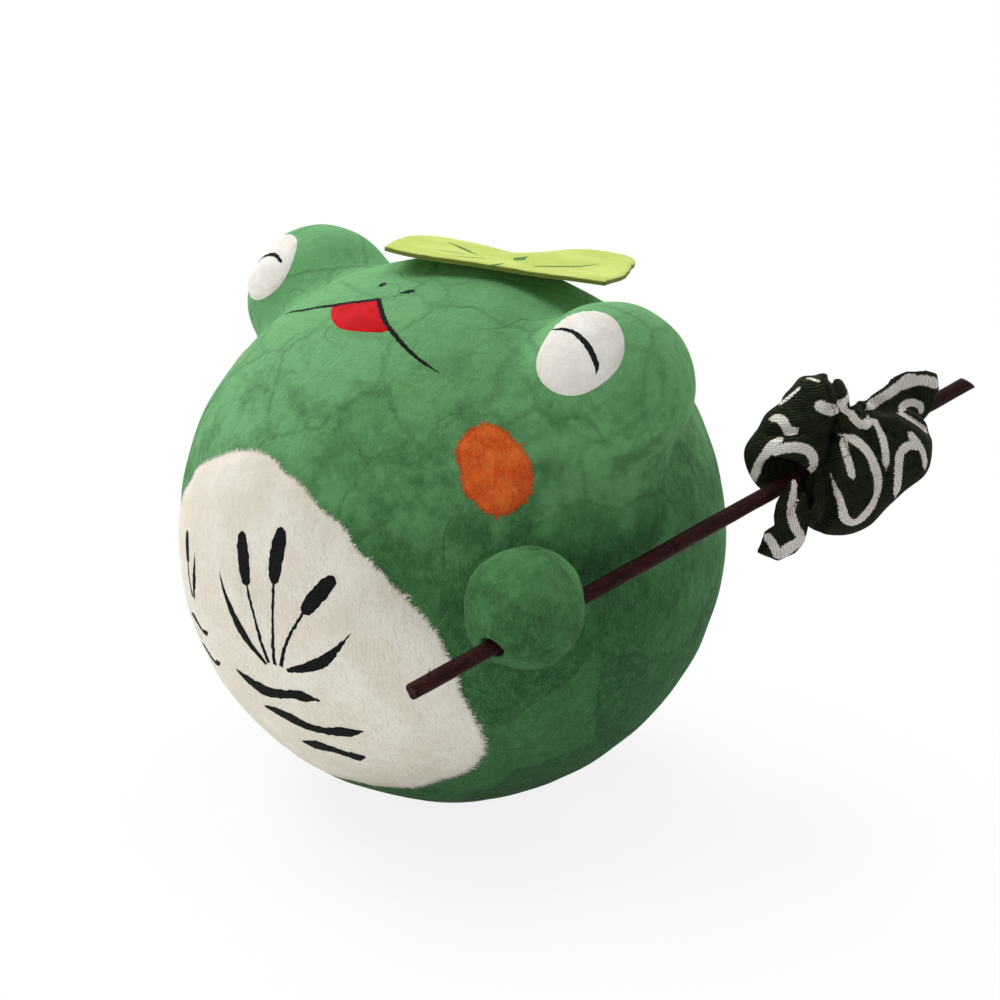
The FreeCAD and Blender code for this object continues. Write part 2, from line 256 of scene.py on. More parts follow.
def evened(points, faces, rounds):
    """Vertices moved towards the middle of their neighbours."""
    for _ in range(rounds):
        total = np.zeros_like(points)
        hits = np.zeros(len(points))
        for corner in range(4):
            here, ahead = faces[:, corner], faces[:, (corner + 1) % 4]
            np.add.at(total, here, points[ahead])
            np.add.at(total, ahead, points[here])
            np.add.at(hits, here, 1)
            np.add.at(hits, ahead, 1)
        points = points * 0.4 + total / hits[:, None] * 0.6
    return points


def in_scene(name, data):
    made = bpy.data.objects.new(name, data)
    bpy.context.scene.collection.objects.link(made)
    return made


def mesh_piece(name, points, faces, material, replaces=()):
    """A piece of the object from points in millimetres."""
    mesh = bpy.data.meshes.new(name)
    mesh.from_pydata((np.asarray(points) * MILLIMETRE).tolist(), [], [list(face) for face in faces])
    mesh.validate()
    mesh.update()
    mesh.shade_smooth()
    piece = in_scene(name, mesh)
    mesh.materials.append(material)
    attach(piece, "root")
    if replaces:
        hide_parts(*replaces)
    return piece


# Materials

class Painter:
    """Builds one material's nodes. Lengths are millimetres, and places are those of the object."""

    def __init__(self, name, roughness, sheen=0.0, gloss=0.06):
        self.material = bpy.data.materials.new(name)
        self.material.use_nodes = True
        self.tree = self.material.node_tree
        self.surface = self.tree.nodes["Principled BSDF"]
        self.surface.inputs["Roughness"].default_value = roughness
        self.surface.inputs["Specular IOR Level"].default_value = gloss
        self.surface.inputs["Sheen Weight"].default_value = sheen
        place = self.tree.nodes.new("ShaderNodeTexCoord")
        scale = self.tree.nodes.new("ShaderNodeVectorMath")
        scale.operation = "SCALE"
        scale.inputs["Scale"].default_value = 1 / MILLIMETRE
        self.tree.links.new(place.outputs["Object"], scale.inputs[0])
        self.place = scale.outputs[0]

    def node(self, kind, settings=(), **inputs):
        made = self.tree.nodes.new(kind)
        for key, value in dict(settings).items():
            setattr(made, key, value)
        for key, value in inputs.items():
            self.feed(made.inputs[key.replace("_", " ")], value)
        return made

    def feed(self, socket, value):
        if isinstance(value, bpy.types.NodeSocket):
            self.tree.links.new(value, socket)
        elif isinstance(value, tuple) and len(value) == 3 and socket.type == "RGBA":
            socket.default_value = (*value, 1.0)
        else:
            socket.default_value = value

    def math(self, operation, first, second=0.0):
        made = self.node("ShaderNodeMath", {"operation": operation})
        self.feed(made.inputs[0], first)
        self.feed(made.inputs[1], second)
        return made.outputs[0]

    def stretched(self, along=(1, 1, 1), turn=(0, 0, 0), place=None):
        made = self.node("ShaderNodeMapping", Vector=place or self.place)
        made.inputs["Scale"].default_value = along
        made.inputs["Rotation"].default_value = [math.radians(angle) for angle in turn]
        return made.outputs[0]

    def noise(self, size, detail=2.0, roughness=0.5, distortion=0.0, place=None):
        """Noise between 0 and 1, with features of one size."""
        made = self.node(
            "ShaderNodeTexNoise", Vector=place or self.place, Scale=1 / size, Detail=detail,
            Roughness=roughness, Distortion=distortion,
        )
        return made.outputs["Fac"]

    def bent(self, size, amount, place=None):
        """Places pushed about by noise, so that what is drawn on them bends."""
        made = self.node("ShaderNodeTexNoise", Vector=place or self.place, Scale=1 / size, Detail=2.0)
        centred = self.node("ShaderNodeVectorMath", {"operation": "SUBTRACT"})
        self.feed(centred.inputs[0], made.outputs["Color"])
        centred.inputs[1].default_value = (0.5, 0.5, 0.5)
        grown = self.node("ShaderNodeVectorMath", {"operation": "SCALE"}, Scale=2 * amount)
        self.feed(grown.inputs[0], centred.outputs[0])
        moved = self.node("ShaderNodeVectorMath", {"operation": "ADD"})
        self.feed(moved.inputs[0], place or self.place)
        self.feed(moved.inputs[1], grown.outputs[0])
        return moved.outputs[0]

    def ramp(self, value, low, high, out_low=0.0, out_high=1.0):
        made = self.node("ShaderNodeMapRange", {"interpolation_type": "SMOOTHSTEP"}, Value=value)
        for key, number in zip(("From Min", "From Max", "To Min", "To Max"), (low, high, out_low, out_high)):
            made.inputs[key].default_value = number
        return made.outputs["Result"]

    def mix(self, share, first, second, blend="MIX"):
        made = self.node("ShaderNodeMix", {"data_type": "RGBA", "blend_type": blend})
        self.feed(made.inputs[0], share)
        self.feed(made.inputs[6], first)
        self.feed(made.inputs[7], second)
        return made.outputs[2]

    def threads(self, thickness, length, share, turn, place=None):
        """Thin streaks that lie in one direction: 1 on a streak, 0 beside it."""
        squeezed = self.stretched(along=(1, 1, thickness / length), turn=turn, place=place)
        value = self.noise(thickness * 2.2, detail=1.0, place=squeezed)
        return self.ramp(value, 1 - share, 1 - share + 0.08)

    def finish(self, color, height=None, depth=0.1, strength=1.0):
        """Sets the colour, and bump of a depth in millimetres."""
        self.feed(self.surface.inputs["Base Color"], color)
        if height is not None:
            bump = self.node("ShaderNodeBump", Strength=strength, Distance=depth * MILLIMETRE, Height=height)
            self.feed(self.surface.inputs["Normal"], bump.outputs[0])
        return self.material


def washi_fibres(paint, place):
    """Fibres of handmade paper, crossing in several directions."""
    turns = ((0, 0, 0), (90, 0, 20), (0, 90, 50), (50, 30, 0))
    total = None
    for turn in turns:
        one = paint.threads(0.16, 3.2, 0.36, turn, place)
        total = one if total is None else paint.math("MAXIMUM", total, one)
    return total


def green_washi(name="green_washi"):
    """Torn pieces of green handmade paper, pasted over each other, painted paler towards the top and darker
    below as painted light and shade.
    """
    paint = Painter(name, roughness=0.9, sheen=0.03)
    bent = paint.bent(14.0, 4.0)
    soft = paint.bent(1.6, 0.5, bent)
    pieces = paint.node("ShaderNodeTexVoronoi", {"feature": "F1"}, Vector=soft, Scale=1 / PIECE_SIZE)
    edges = paint.node(
        "ShaderNodeTexVoronoi", {"feature": "DISTANCE_TO_EDGE"}, Vector=soft, Scale=1 / PIECE_SIZE,
    )
    tone = paint.node("ShaderNodeSeparateColor", Color=pieces.outputs["Color"]).outputs[0]
    overlap = paint.ramp(edges.outputs["Distance"], 0.0, 0.045, 1.0, 0.0)
    clouds = paint.noise(7.0, detail=5.0, roughness=0.62)
    mottle = paint.noise(1.7, detail=4.0, roughness=0.65)
    grain = paint.noise(0.36, detail=3.0, roughness=0.75)
    fold = paint.noise(12.0, detail=0.6, roughness=0.4, distortion=0.2)
    fold = paint.ramp(paint.math("ABSOLUTE", paint.math("SUBTRACT", fold, 0.5)), 0.0, 0.010, 1.0, 0.0)
    creases = paint.math("MULTIPLY", fold, paint.ramp(paint.noise(13.0, detail=1.0), 0.46, 0.60))
    fibres = washi_fibres(paint, paint.bent(3.5, 1.2))
    # Painted light and shade: the paper is painted paler towards the frog's top and darker away from it, with
    # random clouds mixed in
    towards = paint.node("ShaderNodeVectorMath", {"operation": "SUBTRACT"}).inputs
    paint.feed(towards[0], paint.place)
    towards[1].default_value = tuple(BALL_CENTRE)
    along = paint.node("ShaderNodeVectorMath", {"operation": "DOT_PRODUCT"})
    paint.feed(along.inputs[0], towards[0].node.outputs[0])
    along.inputs[1].default_value = tuple(PAINTED_LIGHT_SIDE / BALL_RADIUS)
    side = paint.math("ADD", along.outputs["Value"], paint.ramp(clouds, 0.3, 0.7, -0.28, 0.28))
    deep, dark = (0.024, 0.086, 0.028), (0.046, 0.156, 0.052)
    middle, light = (0.084, 0.262, 0.090), (0.160, 0.410, 0.168)
    color = paint.mix(paint.ramp(side, -0.45, 0.15), deep, dark)
    color = paint.mix(paint.ramp(side, -0.05, 0.75), color, light)
    color = paint.mix(paint.ramp(tone, 0.0, 1.0, 0.0, 0.30), color, middle)
    color = paint.mix(paint.ramp(mottle, 0.40, 0.72, 0.0, 0.16), color, light)
    color = paint.mix(paint.ramp(mottle, 0.50, 0.28, 0.0, 0.18), color, deep)
    color = paint.mix(paint.math("MULTIPLY", overlap, 0.22), color, deep)
    # Painted shade: the creases, which the bump also sinks, are painted darker
    color = paint.mix(paint.math("MULTIPLY", creases, 0.24), color, deep)
    color = paint.mix(paint.ramp(grain, 0.48, 0.75, 0.0, 0.30), color, light)
    color = paint.mix(paint.ramp(grain, 0.48, 0.25, 0.0, 0.30), color, deep)
    color = paint.mix(paint.math("MULTIPLY", fibres, 0.10), color, (0.30, 0.50, 0.28))
    wrinkle = paint.noise(4.5, detail=5.0, roughness=0.65, distortion=0.6)
    height = paint.math("ADD", paint.math("MULTIPLY", wrinkle, 1.6), paint.math("MULTIPLY", mottle, 0.5))
    height = paint.math("ADD", height, paint.math("MULTIPLY", grain, 0.2))
    height = paint.math("ADD", height, paint.math("MULTIPLY", fibres, 0.10))
    height = paint.math("SUBTRACT", height, paint.math("MULTIPLY", overlap, 0.30))
    height = paint.math("SUBTRACT", height, paint.math("MULTIPLY", creases, 0.30))
    return paint.finish(color, height, depth=0.4)


def cream_washi():
    """Undyed handmade paper with pale and straw-coloured fibres."""
    paint = Painter("cream_washi", roughness=0.9, sheen=0.03)
    place = paint.bent(3.5, 1.2)
    clouds = paint.noise(9.0, detail=4.0, roughness=0.6)
    grain = paint.noise(0.5, detail=3.0, roughness=0.7)
    fibres = washi_fibres(paint, place)
    color = paint.mix(paint.ramp(clouds, 0.35, 0.7), (0.79, 0.735, 0.625), (0.87, 0.835, 0.755))
    color = paint.mix(paint.ramp(grain, 0.4, 0.75, 0.0, 0.35), color, (0.74, 0.65, 0.50))
    color = paint.mix(paint.math("MULTIPLY", fibres, 0.3), color, (0.90, 0.87, 0.80))
    wrinkle = paint.noise(5.0, detail=5.0, roughness=0.6, distortion=0.5)
    height = paint.math("ADD", paint.math("MULTIPLY", wrinkle, 1.4), paint.math("MULTIPLY", fibres, 0.2))
    height = paint.math("ADD", height, paint.math("MULTIPLY", grain, 0.4))
    return paint.finish(color, height, depth=0.3)


def white_paper():
    paint = Painter("white_eye_paper", roughness=0.8)
    clouds = paint.noise(3.0, detail=4.0, roughness=0.6)
    grain = paint.noise(0.4, detail=3.0)
    color = paint.mix(paint.ramp(clouds, 0.3, 0.7), (0.75, 0.72, 0.655), (0.84, 0.825, 0.775))
    color = paint.mix(paint.ramp(grain, 0.4, 0.8, 0.0, 0.3), color, (0.70, 0.65, 0.56))
    wrinkle = paint.noise(2.4, detail=4.0, distortion=0.8)
    height = paint.math("ADD", wrinkle, paint.math("MULTIPLY", grain, 0.3))
    return paint.finish(color, height, depth=0.25)


def orange_washi():
    paint = Painter("orange_washi", roughness=0.9, sheen=0.02)
    clouds = paint.noise(2.2, detail=3.0)
    grain = paint.noise(0.4, detail=3.0, roughness=0.7)
    fibres = washi_fibres(paint, paint.bent(3.0, 1.0))
    color = paint.mix(paint.ramp(clouds, 0.35, 0.7), (0.68, 0.085, 0.012), (0.86, 0.165, 0.030))
    color = paint.mix(paint.ramp(grain, 0.4, 0.8, 0.0, 0.4), color, (0.93, 0.25, 0.060))
    color = paint.mix(paint.math("MULTIPLY", fibres, 0.3), color, (0.95, 0.29, 0.085))
    return paint.finish(color, paint.math("ADD", grain, fibres), depth=0.15)


def red_paper():
    paint = Painter("red_paper", roughness=0.75)
    grain = paint.noise(0.5, detail=3.0, roughness=0.7)
    clouds = paint.noise(2.5, detail=2.0)
    color = paint.mix(paint.ramp(clouds, 0.3, 0.7), (0.47, 0.002, 0.005), (0.60, 0.006, 0.011))
    return paint.finish(color, grain, depth=0.06)


def brush_ink(name, roughness, grain_size, grain_roughness, thick, thin):
    paint = Painter(name, roughness)
    grain = paint.noise(grain_size, detail=3.0, roughness=grain_roughness)
    color = paint.mix(paint.ramp(grain, 0.3, 0.75), thick, thin)
    return paint.finish(color, grain, depth=0.05)


def leaf_paper():
    """Thick yellow-green paper, painted darker on its cut edge as painted shade."""
    paint = Painter("leaf_paper", roughness=0.9, sheen=0.03)
    clouds = paint.noise(8.0, detail=4.0)
    grain = paint.noise(0.45, detail=4.0, roughness=0.75)
    color = paint.mix(paint.ramp(clouds, 0.3, 0.7), (0.44, 0.55, 0.10), (0.56, 0.66, 0.17))
    color = paint.mix(paint.ramp(grain, 0.35, 0.75, 0.0, 0.35), color, (0.68, 0.74, 0.30))
    # Painted shade: faces that turn away from upright, as on the cut edge, are painted darker
    normal = paint.node("ShaderNodeNewGeometry").outputs["Normal"]
    upright = paint.node("ShaderNodeSeparateXYZ", Vector=normal).outputs["Z"]
    edge = paint.ramp(paint.math("ABSOLUTE", upright), 0.45, 0.8, 1.0, 0.0)
    color = paint.mix(edge, color, (0.16, 0.20, 0.035))
    return paint.finish(color, grain, depth=0.12)


def dark_wood():
    """Stained stick with fine grain along its length and a few pale specks."""
    paint = Painter("dark_wood", roughness=0.55, gloss=0.05)
    along = paint.stretched(along=(1, 0.06, 1), turn=(-STICK_RISE, 0, STICK_YAW))
    grain = paint.noise(0.5, detail=4.0, roughness=0.7, place=along)
    clouds = paint.noise(5.0, detail=2.0)
    specks = paint.ramp(paint.noise(0.28, detail=1.0), 0.70, 0.76)
    color = paint.mix(paint.ramp(grain, 0.3, 0.7), (0.009, 0.003, 0.003), (0.036, 0.009, 0.009))
    color = paint.mix(paint.ramp(clouds, 0.45, 0.8, 0.0, 0.5), color, (0.055, 0.014, 0.012))
    color = paint.mix(paint.math("MULTIPLY", specks, 0.5), color, (0.22, 0.13, 0.12))
    return paint.finish(color, grain, depth=0.12)


def base_card():
    paint = Painter("grey_card", roughness=0.9)
    clouds = paint.noise(4.0, detail=4.0)
    grain = paint.noise(0.3, detail=4.0, roughness=0.75)
    color = paint.mix(paint.ramp(clouds, 0.3, 0.7), (0.36, 0.29, 0.20), (0.48, 0.41, 0.30))
    color = paint.mix(paint.ramp(grain, 0.35, 0.8, 0.0, 0.5), color, (0.22, 0.17, 0.12))
    return paint.finish(color, grain, depth=0.08)


def scroll_cloth():
    """Dark green woven cotton with a pale scroll pattern, which a distance on the mesh gives."""
    paint = Painter("scroll_cloth", roughness=0.95)
    across_ribs = paint.node("ShaderNodeAttribute", {"attribute_name": "rib"}).outputs["Fac"]
    waver = paint.math("MULTIPLY", paint.noise(1.6, detail=2.0), 0.5)
    turns = paint.math("MULTIPLY", paint.math("ADD", across_ribs, waver), 2 * math.pi / RIB_SPACING)
    worn = paint.ramp(paint.noise(1.4, detail=2.0), 0.35, 0.65, 0.35, 1.0)
    ribs = paint.math("MULTIPLY", paint.ramp(paint.math("SINE", turns), -1.0, 1.0), worn)
    grain = paint.noise(0.25, detail=2.0, roughness=0.7)
    to_scroll = paint.node("ShaderNodeAttribute", {"attribute_name": "to_scroll"}).outputs["Fac"]
    ragged = paint.math("ADD", to_scroll, paint.ramp(grain, 0.3, 0.7, -0.12, 0.12))
    scroll = paint.ramp(ragged, -0.08, 0.08, 1.0, 0.0)
    # Painted shade and light: the rib grooves are painted darker and the rib tops paler, on the dark cloth
    # and on the pale scroll
    dark = paint.mix(paint.ramp(ribs, 0.1, 0.8), (0.006, 0.009, 0.004), (0.024, 0.030, 0.013))
    pale = paint.mix(paint.ramp(ribs, 0.0, 0.5), (0.58, 0.54, 0.48), (0.86, 0.83, 0.78))
    rim = paint.ramp(paint.math("ABSOLUTE", paint.math("SUBTRACT", ragged, 0.03)), 0.0, 0.10, 0.7, 0.0)
    color = paint.mix(scroll, dark, pale)
    color = paint.mix(rim, color, (0.13, 0.085, 0.035))
    height = paint.math("ADD", paint.math("MULTIPLY", ribs, 0.6), paint.math("MULTIPLY", grain, 0.4))
    return paint.finish(color, height, depth=0.2)


GREEN = green_washi()
CREAM = cream_washi()
WHITE = white_paper()
ORANGE = orange_washi()
RED = red_paper()
INK = brush_ink("brush_ink", 0.8, 0.3, 0.7, (0.004, 0.004, 0.004), (0.016, 0.015, 0.015))
LEAF = leaf_paper()
LEAF_INK = brush_ink("leaf_ink", 0.7, 0.35, 0.5, (0.050, 0.140, 0.030), (0.11, 0.24, 0.06))
WOOD = dark_wood()
CARD = base_card()
CLOTH = scroll_cloth()


# Body

def plain_body(points):
    """Ball with two eye domes, and flat where it stands."""
    distance = ball(points, BALL_CENTRE, BALL_RADIUS)
    for centre in (EYE_CENTRE, across_mirror(EYE_CENTRE)):
        distance = smooth_union(distance, ball(points, centre, EYE_RADIUS), CREASE_BLEND)
    return smooth_cut(distance, points[:, 2] - SHELL_BOTTOM, BASE_BLEND)


def body_surface(points):
    """The body with the gentle lumps of hand-pasted paper."""
    lumps = 0.10 * waves(points, 26.0, seed=11) + 0.05 * waves(points, 9.0, seed=12)
    fade = np.clip((points[:, 2] - SHELL_BOTTOM) / 5.0, 0, 1)
    return plain_body(points) - lumps * fade


def make_body():
    reach = BALL_RADIUS + 3.5
    low = BALL_CENTRE - reach
    high = BALL_CENTRE + reach
    low[2] = SHELL_BOTTOM - 1.5
    points, faces = surface_net(plain_body, low, high, BODY_CELL)
    points = evened(points, faces, 2)
    points = settle(points, body_surface, rounds=3)
    points[:, 2] = np.maximum(points[:, 2], SHELL_BOTTOM)
    return mesh_piece("frog_body", points, faces, GREEN, ["body_shell"])


make_body()
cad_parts["base_disc"].data.materials.clear()
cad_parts["base_disc"].data.materials.append(CARD)


# Pasted paper

Placing = namedtuple("Placing", "centre direction across up start")


def plane_frame(direction, lean=0.0):
    """Two directions across a third: sideways and upwards, turned by a lean in degrees."""
    across = unit(np.cross([0.0, 0.0, 1.0], direction))
    up = np.cross(direction, across)
    turn = math.radians(lean)
    return across * math.cos(turn) + up * math.sin(turn), up * math.cos(turn) - across * math.sin(turn)


def inside_outline(points, outline):
    inside = np.zeros(len(points), bool)
    for start, end in zip(outline, np.roll(outline, -1, axis=0)):
        rises = (start[1] > points[:, 1]) != (end[1] > points[:, 1])
        height = end[1] - start[1] if end[1] != start[1] else 1e-9
        crossing = start[0] + (points[:, 1] - start[1]) * (end[0] - start[0]) / height
        inside ^= rises & (points[:, 0] < crossing)
    return inside


def edge_distance(points, outline):
    """Distance from each point to the nearest outline point."""
    nearest = np.full(len(points), 1e9)
    for corner in outline:
        nearest = np.minimum(nearest, np.hypot(points[:, 0] - corner[0], points[:, 1] - corner[1]))
    return nearest


def filled_outline(outline, spacing, seed):
    """Triangles over a flat outline, with points inside it about one spacing apart."""
    outline = np.asarray(outline)
    low, high = outline.min(axis=0), outline.max(axis=0)
    grid = np.stack(np.meshgrid(np.arange(low[0], high[0], spacing), np.arange(low[1], high[1], spacing)), -1)
    grid = grid.reshape(-1, 2) + random_source(seed).uniform(-0.25, 0.25, (grid.size // 2, 2)) * spacing
    grid = grid[inside_outline(grid, outline)]
    grid = grid[edge_distance(grid, outline) > 0.35 * spacing]
    points = [Vector(point) for point in np.concatenate([outline, grid])]
    count = len(outline)
    edges = [(index, (index + 1) % count) for index in range(count)]
    made = geometry.delaunay_2d_cdt(points, edges, [], 1, 1e-5)
    return np.array([tuple(point) for point in made[0]]), [tuple(face) for face in made[2]]


def jagged(count, wavelength_steps, source):
    """Closed run of random heights about 1, smooth over a number of steps."""
    values = source.normal(size=count)
    reach = int(2 * wavelength_steps)
    weights = np.exp(-0.5 * (np.arange(-reach, reach + 1) / wavelength_steps) ** 2)
    wrapped = np.concatenate([values[-reach:], values, values[:reach]])
    smooth = np.convolve(wrapped, weights, mode="valid")
    return smooth / smooth.std()


def torn(outline, tear, fray, seed):
    """Outline with a torn edge, and its outward directions: a slow waver and fine points of fibre."""
    outline = np.asarray(outline)
    source = random_source(seed)
    tangent = np.roll(outline, -1, axis=0) - np.roll(outline, 1, axis=0)
    normal = np.stack([tangent[:, 1], -tangent[:, 0]], axis=1)
    normal /= np.linalg.norm(normal, axis=1)[:, None]
    ahead = np.roll(outline, -1, axis=0)
    area = 0.5 * np.sum(outline[:, 0] * ahead[:, 1] - ahead[:, 0] * outline[:, 1])
    normal *= math.copysign(1, area)
    offset = tear * jagged(len(outline), 16, source) * 0.5
    offset += fray * np.abs(jagged(len(outline), 1.2, source)) ** 1.6 * 0.55
    return outline + normal * offset[:, None], normal


def resampled(outline, spacing):
    """The same closed outline with evenly spaced points."""
    closed = np.concatenate([outline, outline[:1]])
    steps = np.concatenate([[0], np.cumsum(np.linalg.norm(np.diff(closed, axis=0), axis=1))])
    count = int(steps[-1] / spacing)
    places = np.linspace(0, steps[-1], count, endpoint=False)
    return np.stack([np.interp(places, steps, closed[:, 0]), np.interp(places, steps, closed[:, 1])], axis=1)


def curve_through(corners, spacing):
    """Smooth line through a few points, and where each of its places lies among them."""
    corners = np.asarray(corners, float)
    chords = np.linalg.norm(np.diff(corners, axis=0), axis=1)
    knots = np.concatenate([[0], np.cumsum(chords)])
    count = len(knots)
    system = np.eye(count)
    right = np.zeros_like(corners)
    for index in range(1, count - 1):
        before, after = chords[index - 1], chords[index]
        system[index, index - 1:index + 2] = before, 2 * (before + after), after
        ahead = (corners[index + 1] - corners[index]) / after
        right[index] = 6 * (ahead - (corners[index] - corners[index - 1]) / before)
    bend = np.linalg.solve(system, right)
    places = np.linspace(0, knots[-1], max(int(knots[-1] / spacing), 2) + 1)
    index = np.clip(np.searchsorted(knots, places, side="right") - 1, 0, count - 2)
    chord = chords[index][:, None]
    second = (places - knots[index])[:, None] / chord
    first = 1 - second
    line = first * corners[index] + second * corners[index + 1]
    line += ((first ** 3 - first) * bend[index] + (second ** 3 - second) * bend[index + 1]) * chord ** 2 / 6
    return line, np.interp(places, knots, np.arange(count))


def on_body(flat, placing, lift):
    """Points of a flat drawing pushed along the placing's direction onto the body."""
    flat = np.asarray(flat)
    points = placing.centre + flat[:, :1] * placing.across + flat[:, 1:] * placing.up
    points = points + placing.direction * placing.start
    for _ in range(24):
        points = points - placing.direction * body_surface(points)[:, None] * 0.9
    return points + slope_of(body_surface, points) * np.reshape(lift, (-1, 1))


def facing_out(points, faces, direction):
    """Faces turned to look along a direction, judged by the first of them."""
    first = points[list(faces[0])]
    if np.cross(first[1] - first[0], first[2] - first[0]) @ direction < 0:
        return [tuple(face)[::-1] for face in faces]
    return faces


def paper_rise(flat, outline, feather, thickness):
    """Height of pasted paper above the body: thin at its edge, full further in, nothing beside it."""
    rise = np.clip(edge_distance(flat, outline) / feather, 0, 1)
    return THIN_EDGE + (thickness - THIN_EDGE) * rise * (2 - rise)


def pasted_paper(name, outline, placing, material, node, spacing, feather, seed, thickness=PAPER_LIFT):
    """Thin paper that lies on the body and thins out towards its edge."""
    flat, faces = filled_outline(outline, spacing, seed)
    points = on_body(flat, placing, paper_rise(flat, outline, feather, thickness))
    return mesh_piece(name, points, facing_out(points, faces, placing.direction), material, [node])


def fibres_on_edge(name, outline, normal, placing, material, spacing, length, lift, seed, inward=0.5):
    """Fine fibres that lie across a torn edge."""
    source = random_source(seed)
    points, faces = [], []
    count = int(len(outline) * 0.1 / spacing)
    for _ in range(count):
        index = source.integers(len(outline))
        reach = length * source.uniform(0.35, 1.0)
        lean = source.normal() * 0.5
        side = np.array([-normal[index][1], normal[index][0]])
        heading = unit(normal[index] + side * lean)
        curl = source.normal() * 0.35
        width = source.uniform(0.03, 0.065)
        start = outline[index] - heading * reach * inward
        line = []
        for step in range(4):
            share = step / 3
            line.append(start + heading * reach * share + side * curl * reach * share * share)
        base = len(points)
        for step, place in enumerate(line):
            half = width * (0.5 if step < 3 else 0.12) * (0.6 if step == 0 else 1)
            points.append(place + np.array([-heading[1], heading[0]]) * half)
            points.append(place - np.array([-heading[1], heading[0]]) * half)
        for step in range(3):
            corner = base + 2 * step
            faces.append((corner, corner + 1, corner + 3, corner + 2))
    placed = on_body(points, placing, lift)
    return mesh_piece(name, placed, facing_out(placed, faces, placing.direction), material)


def egg_outline():
    """Outline of the belly paper about the ball's middle, wider and flatter below."""
    half_width, top, widest, bottom = [
        BALL_RADIUS * math.sin(math.radians(angle))
        for angle in (BELLY_HALF_ANGLE, BELLY_TOP_ANGLE, BELLY_WIDEST_ANGLE, BELLY_BOTTOM_ANGLE)
    ]
    angle = np.linspace(0, 2 * math.pi, 1440, endpoint=False)
    across, up = np.sin(angle), np.cos(angle)
    upper = up >= 0
    x = half_width * np.sign(across) * np.abs(across) ** np.where(upper, 1.3, 1.0)
    z = np.where(
        upper,
        widest + (top - widest) * up,
        widest - (widest - bottom) * np.abs(up) ** 0.65,
    )
    return resampled(np.stack([x, z], axis=1), 0.11)


SIDEWAYS, BACKWARDS, UPWARDS = np.eye(3)
FRONT = Placing(BALL_CENTRE, -BACKWARDS, SIDEWAYS, UPWARDS, BALL_RADIUS)
TOP = Placing(BALL_CENTRE, UPWARDS, SIDEWAYS, BACKWARDS, BALL_RADIUS)


def make_belly():
    outline, normal = torn(egg_outline(), tear=0.6, fray=0.16, seed=21)
    pasted_paper("belly_paper", outline, FRONT, CREAM, "belly_patch", 1.1, 1.6, 22)
    fibres_on_edge("belly_edge_fibres", outline, normal, FRONT, CREAM, 0.06, 0.85, 0.07, 23)
    fibres_on_edge("belly_green_fibres", outline, -normal, FRONT, GREEN, 0.20, 0.8, 0.2, 24)


def make_cheek(side, direction, lean):
    placing = Placing(BALL_CENTRE, direction, *plane_frame(direction, lean), BALL_RADIUS)
    angle = np.linspace(0, 2 * math.pi, 360, endpoint=False)
    oval = np.stack([CHEEK_HALF_WIDTH * np.cos(angle), CHEEK_HALF_LENGTH * np.sin(angle)], axis=1)
    outline, normal = torn(resampled(oval, 0.09), tear=0.4, fray=0.25, seed=31)
    name = side + "_cheek"
    pasted_paper(name + "_paper", outline, placing, ORANGE, name + "_patch", 0.7, 1.0, 32)
    fibres_on_edge(name + "_fibres", outline, normal, placing, ORANGE, 0.045, 1.15, 0.08, 33)


def make_eye(side, centre, direction, patch_radius):
    placing = Placing(centre, direction, *plane_frame(direction), EYE_RADIUS)
    angle = np.linspace(0, 2 * math.pi, 240, endpoint=False)
    radius = patch_radius * (1 + 0.008 * np.cos(3 * angle + 1) + 0.006 * np.cos(5 * angle))
    outline = np.stack([radius * np.cos(angle), radius * np.sin(angle)], axis=1)
    name = side + "_eye"
    pasted_paper(name + "_paper", outline, placing, WHITE, name + "_patch", 0.6, 0.25, 41)
    return placing


make_belly()
make_cheek("left", outward_direction(LEFT_CHEEK_OUTWARD, CHEEK_UPWARD), CHEEK_LEAN)
make_cheek("right", across_mirror(outward_direction(RIGHT_CHEEK_OUTWARD, CHEEK_UPWARD)), -CHEEK_LEAN)
eye_way = outward_direction(LEFT_EYE_OUTWARD, LEFT_EYE_UPWARD)
left_eye = make_eye("left", EYE_CENTRE, eye_way, LEFT_EYE_PATCH_RADIUS)
eye_way = across_mirror(outward_direction(RIGHT_EYE_OUTWARD, RIGHT_EYE_UPWARD))
right_eye = make_eye("right", across_mirror(EYE_CENTRE), eye_way, RIGHT_EYE_PATCH_RADIUS)


# Brush lines

def painted_lines(name, lines, placing, lift_of, material, seed, ragged=0.06):
    """Brush lines on the body. Each is its corners and its width at each corner."""
    source = random_source(seed)
    flat, faces = [], []
    for corners, widths in lines:
        line, at = curve_through(corners, INK_STEP)
        half = np.interp(at, np.arange(len(widths)), widths) / 2
        heading = np.gradient(line, axis=0)
        heading /= np.linalg.norm(heading, axis=1)[:, None]
        side = np.stack([-heading[:, 1], heading[:, 0]], axis=1)
        start = len(flat)
        columns = []
        for share in (-1, -0.5, 0, 0.5, 1):
            waver = ragged * jagged(len(line), 1.5, source) * share * np.minimum(1, half / 0.25)
            columns.append(line + side * (half * share + waver)[:, None])
        flat.extend(np.stack(columns, axis=1).reshape(-1, 2))
        for row in range(len(line) - 1):
            for column in range(4):
                corner = start + row * 5 + column
                faces.append((corner, corner + 1, corner + 6, corner + 5))
    flat = np.array(flat)
    points = on_body(flat, placing, lift_of(flat))
    return mesh_piece(name, points, facing_out(points, faces, placing.direction), material)


def on_paper(flat):
    return PAPER_LIFT + INK_LIFT


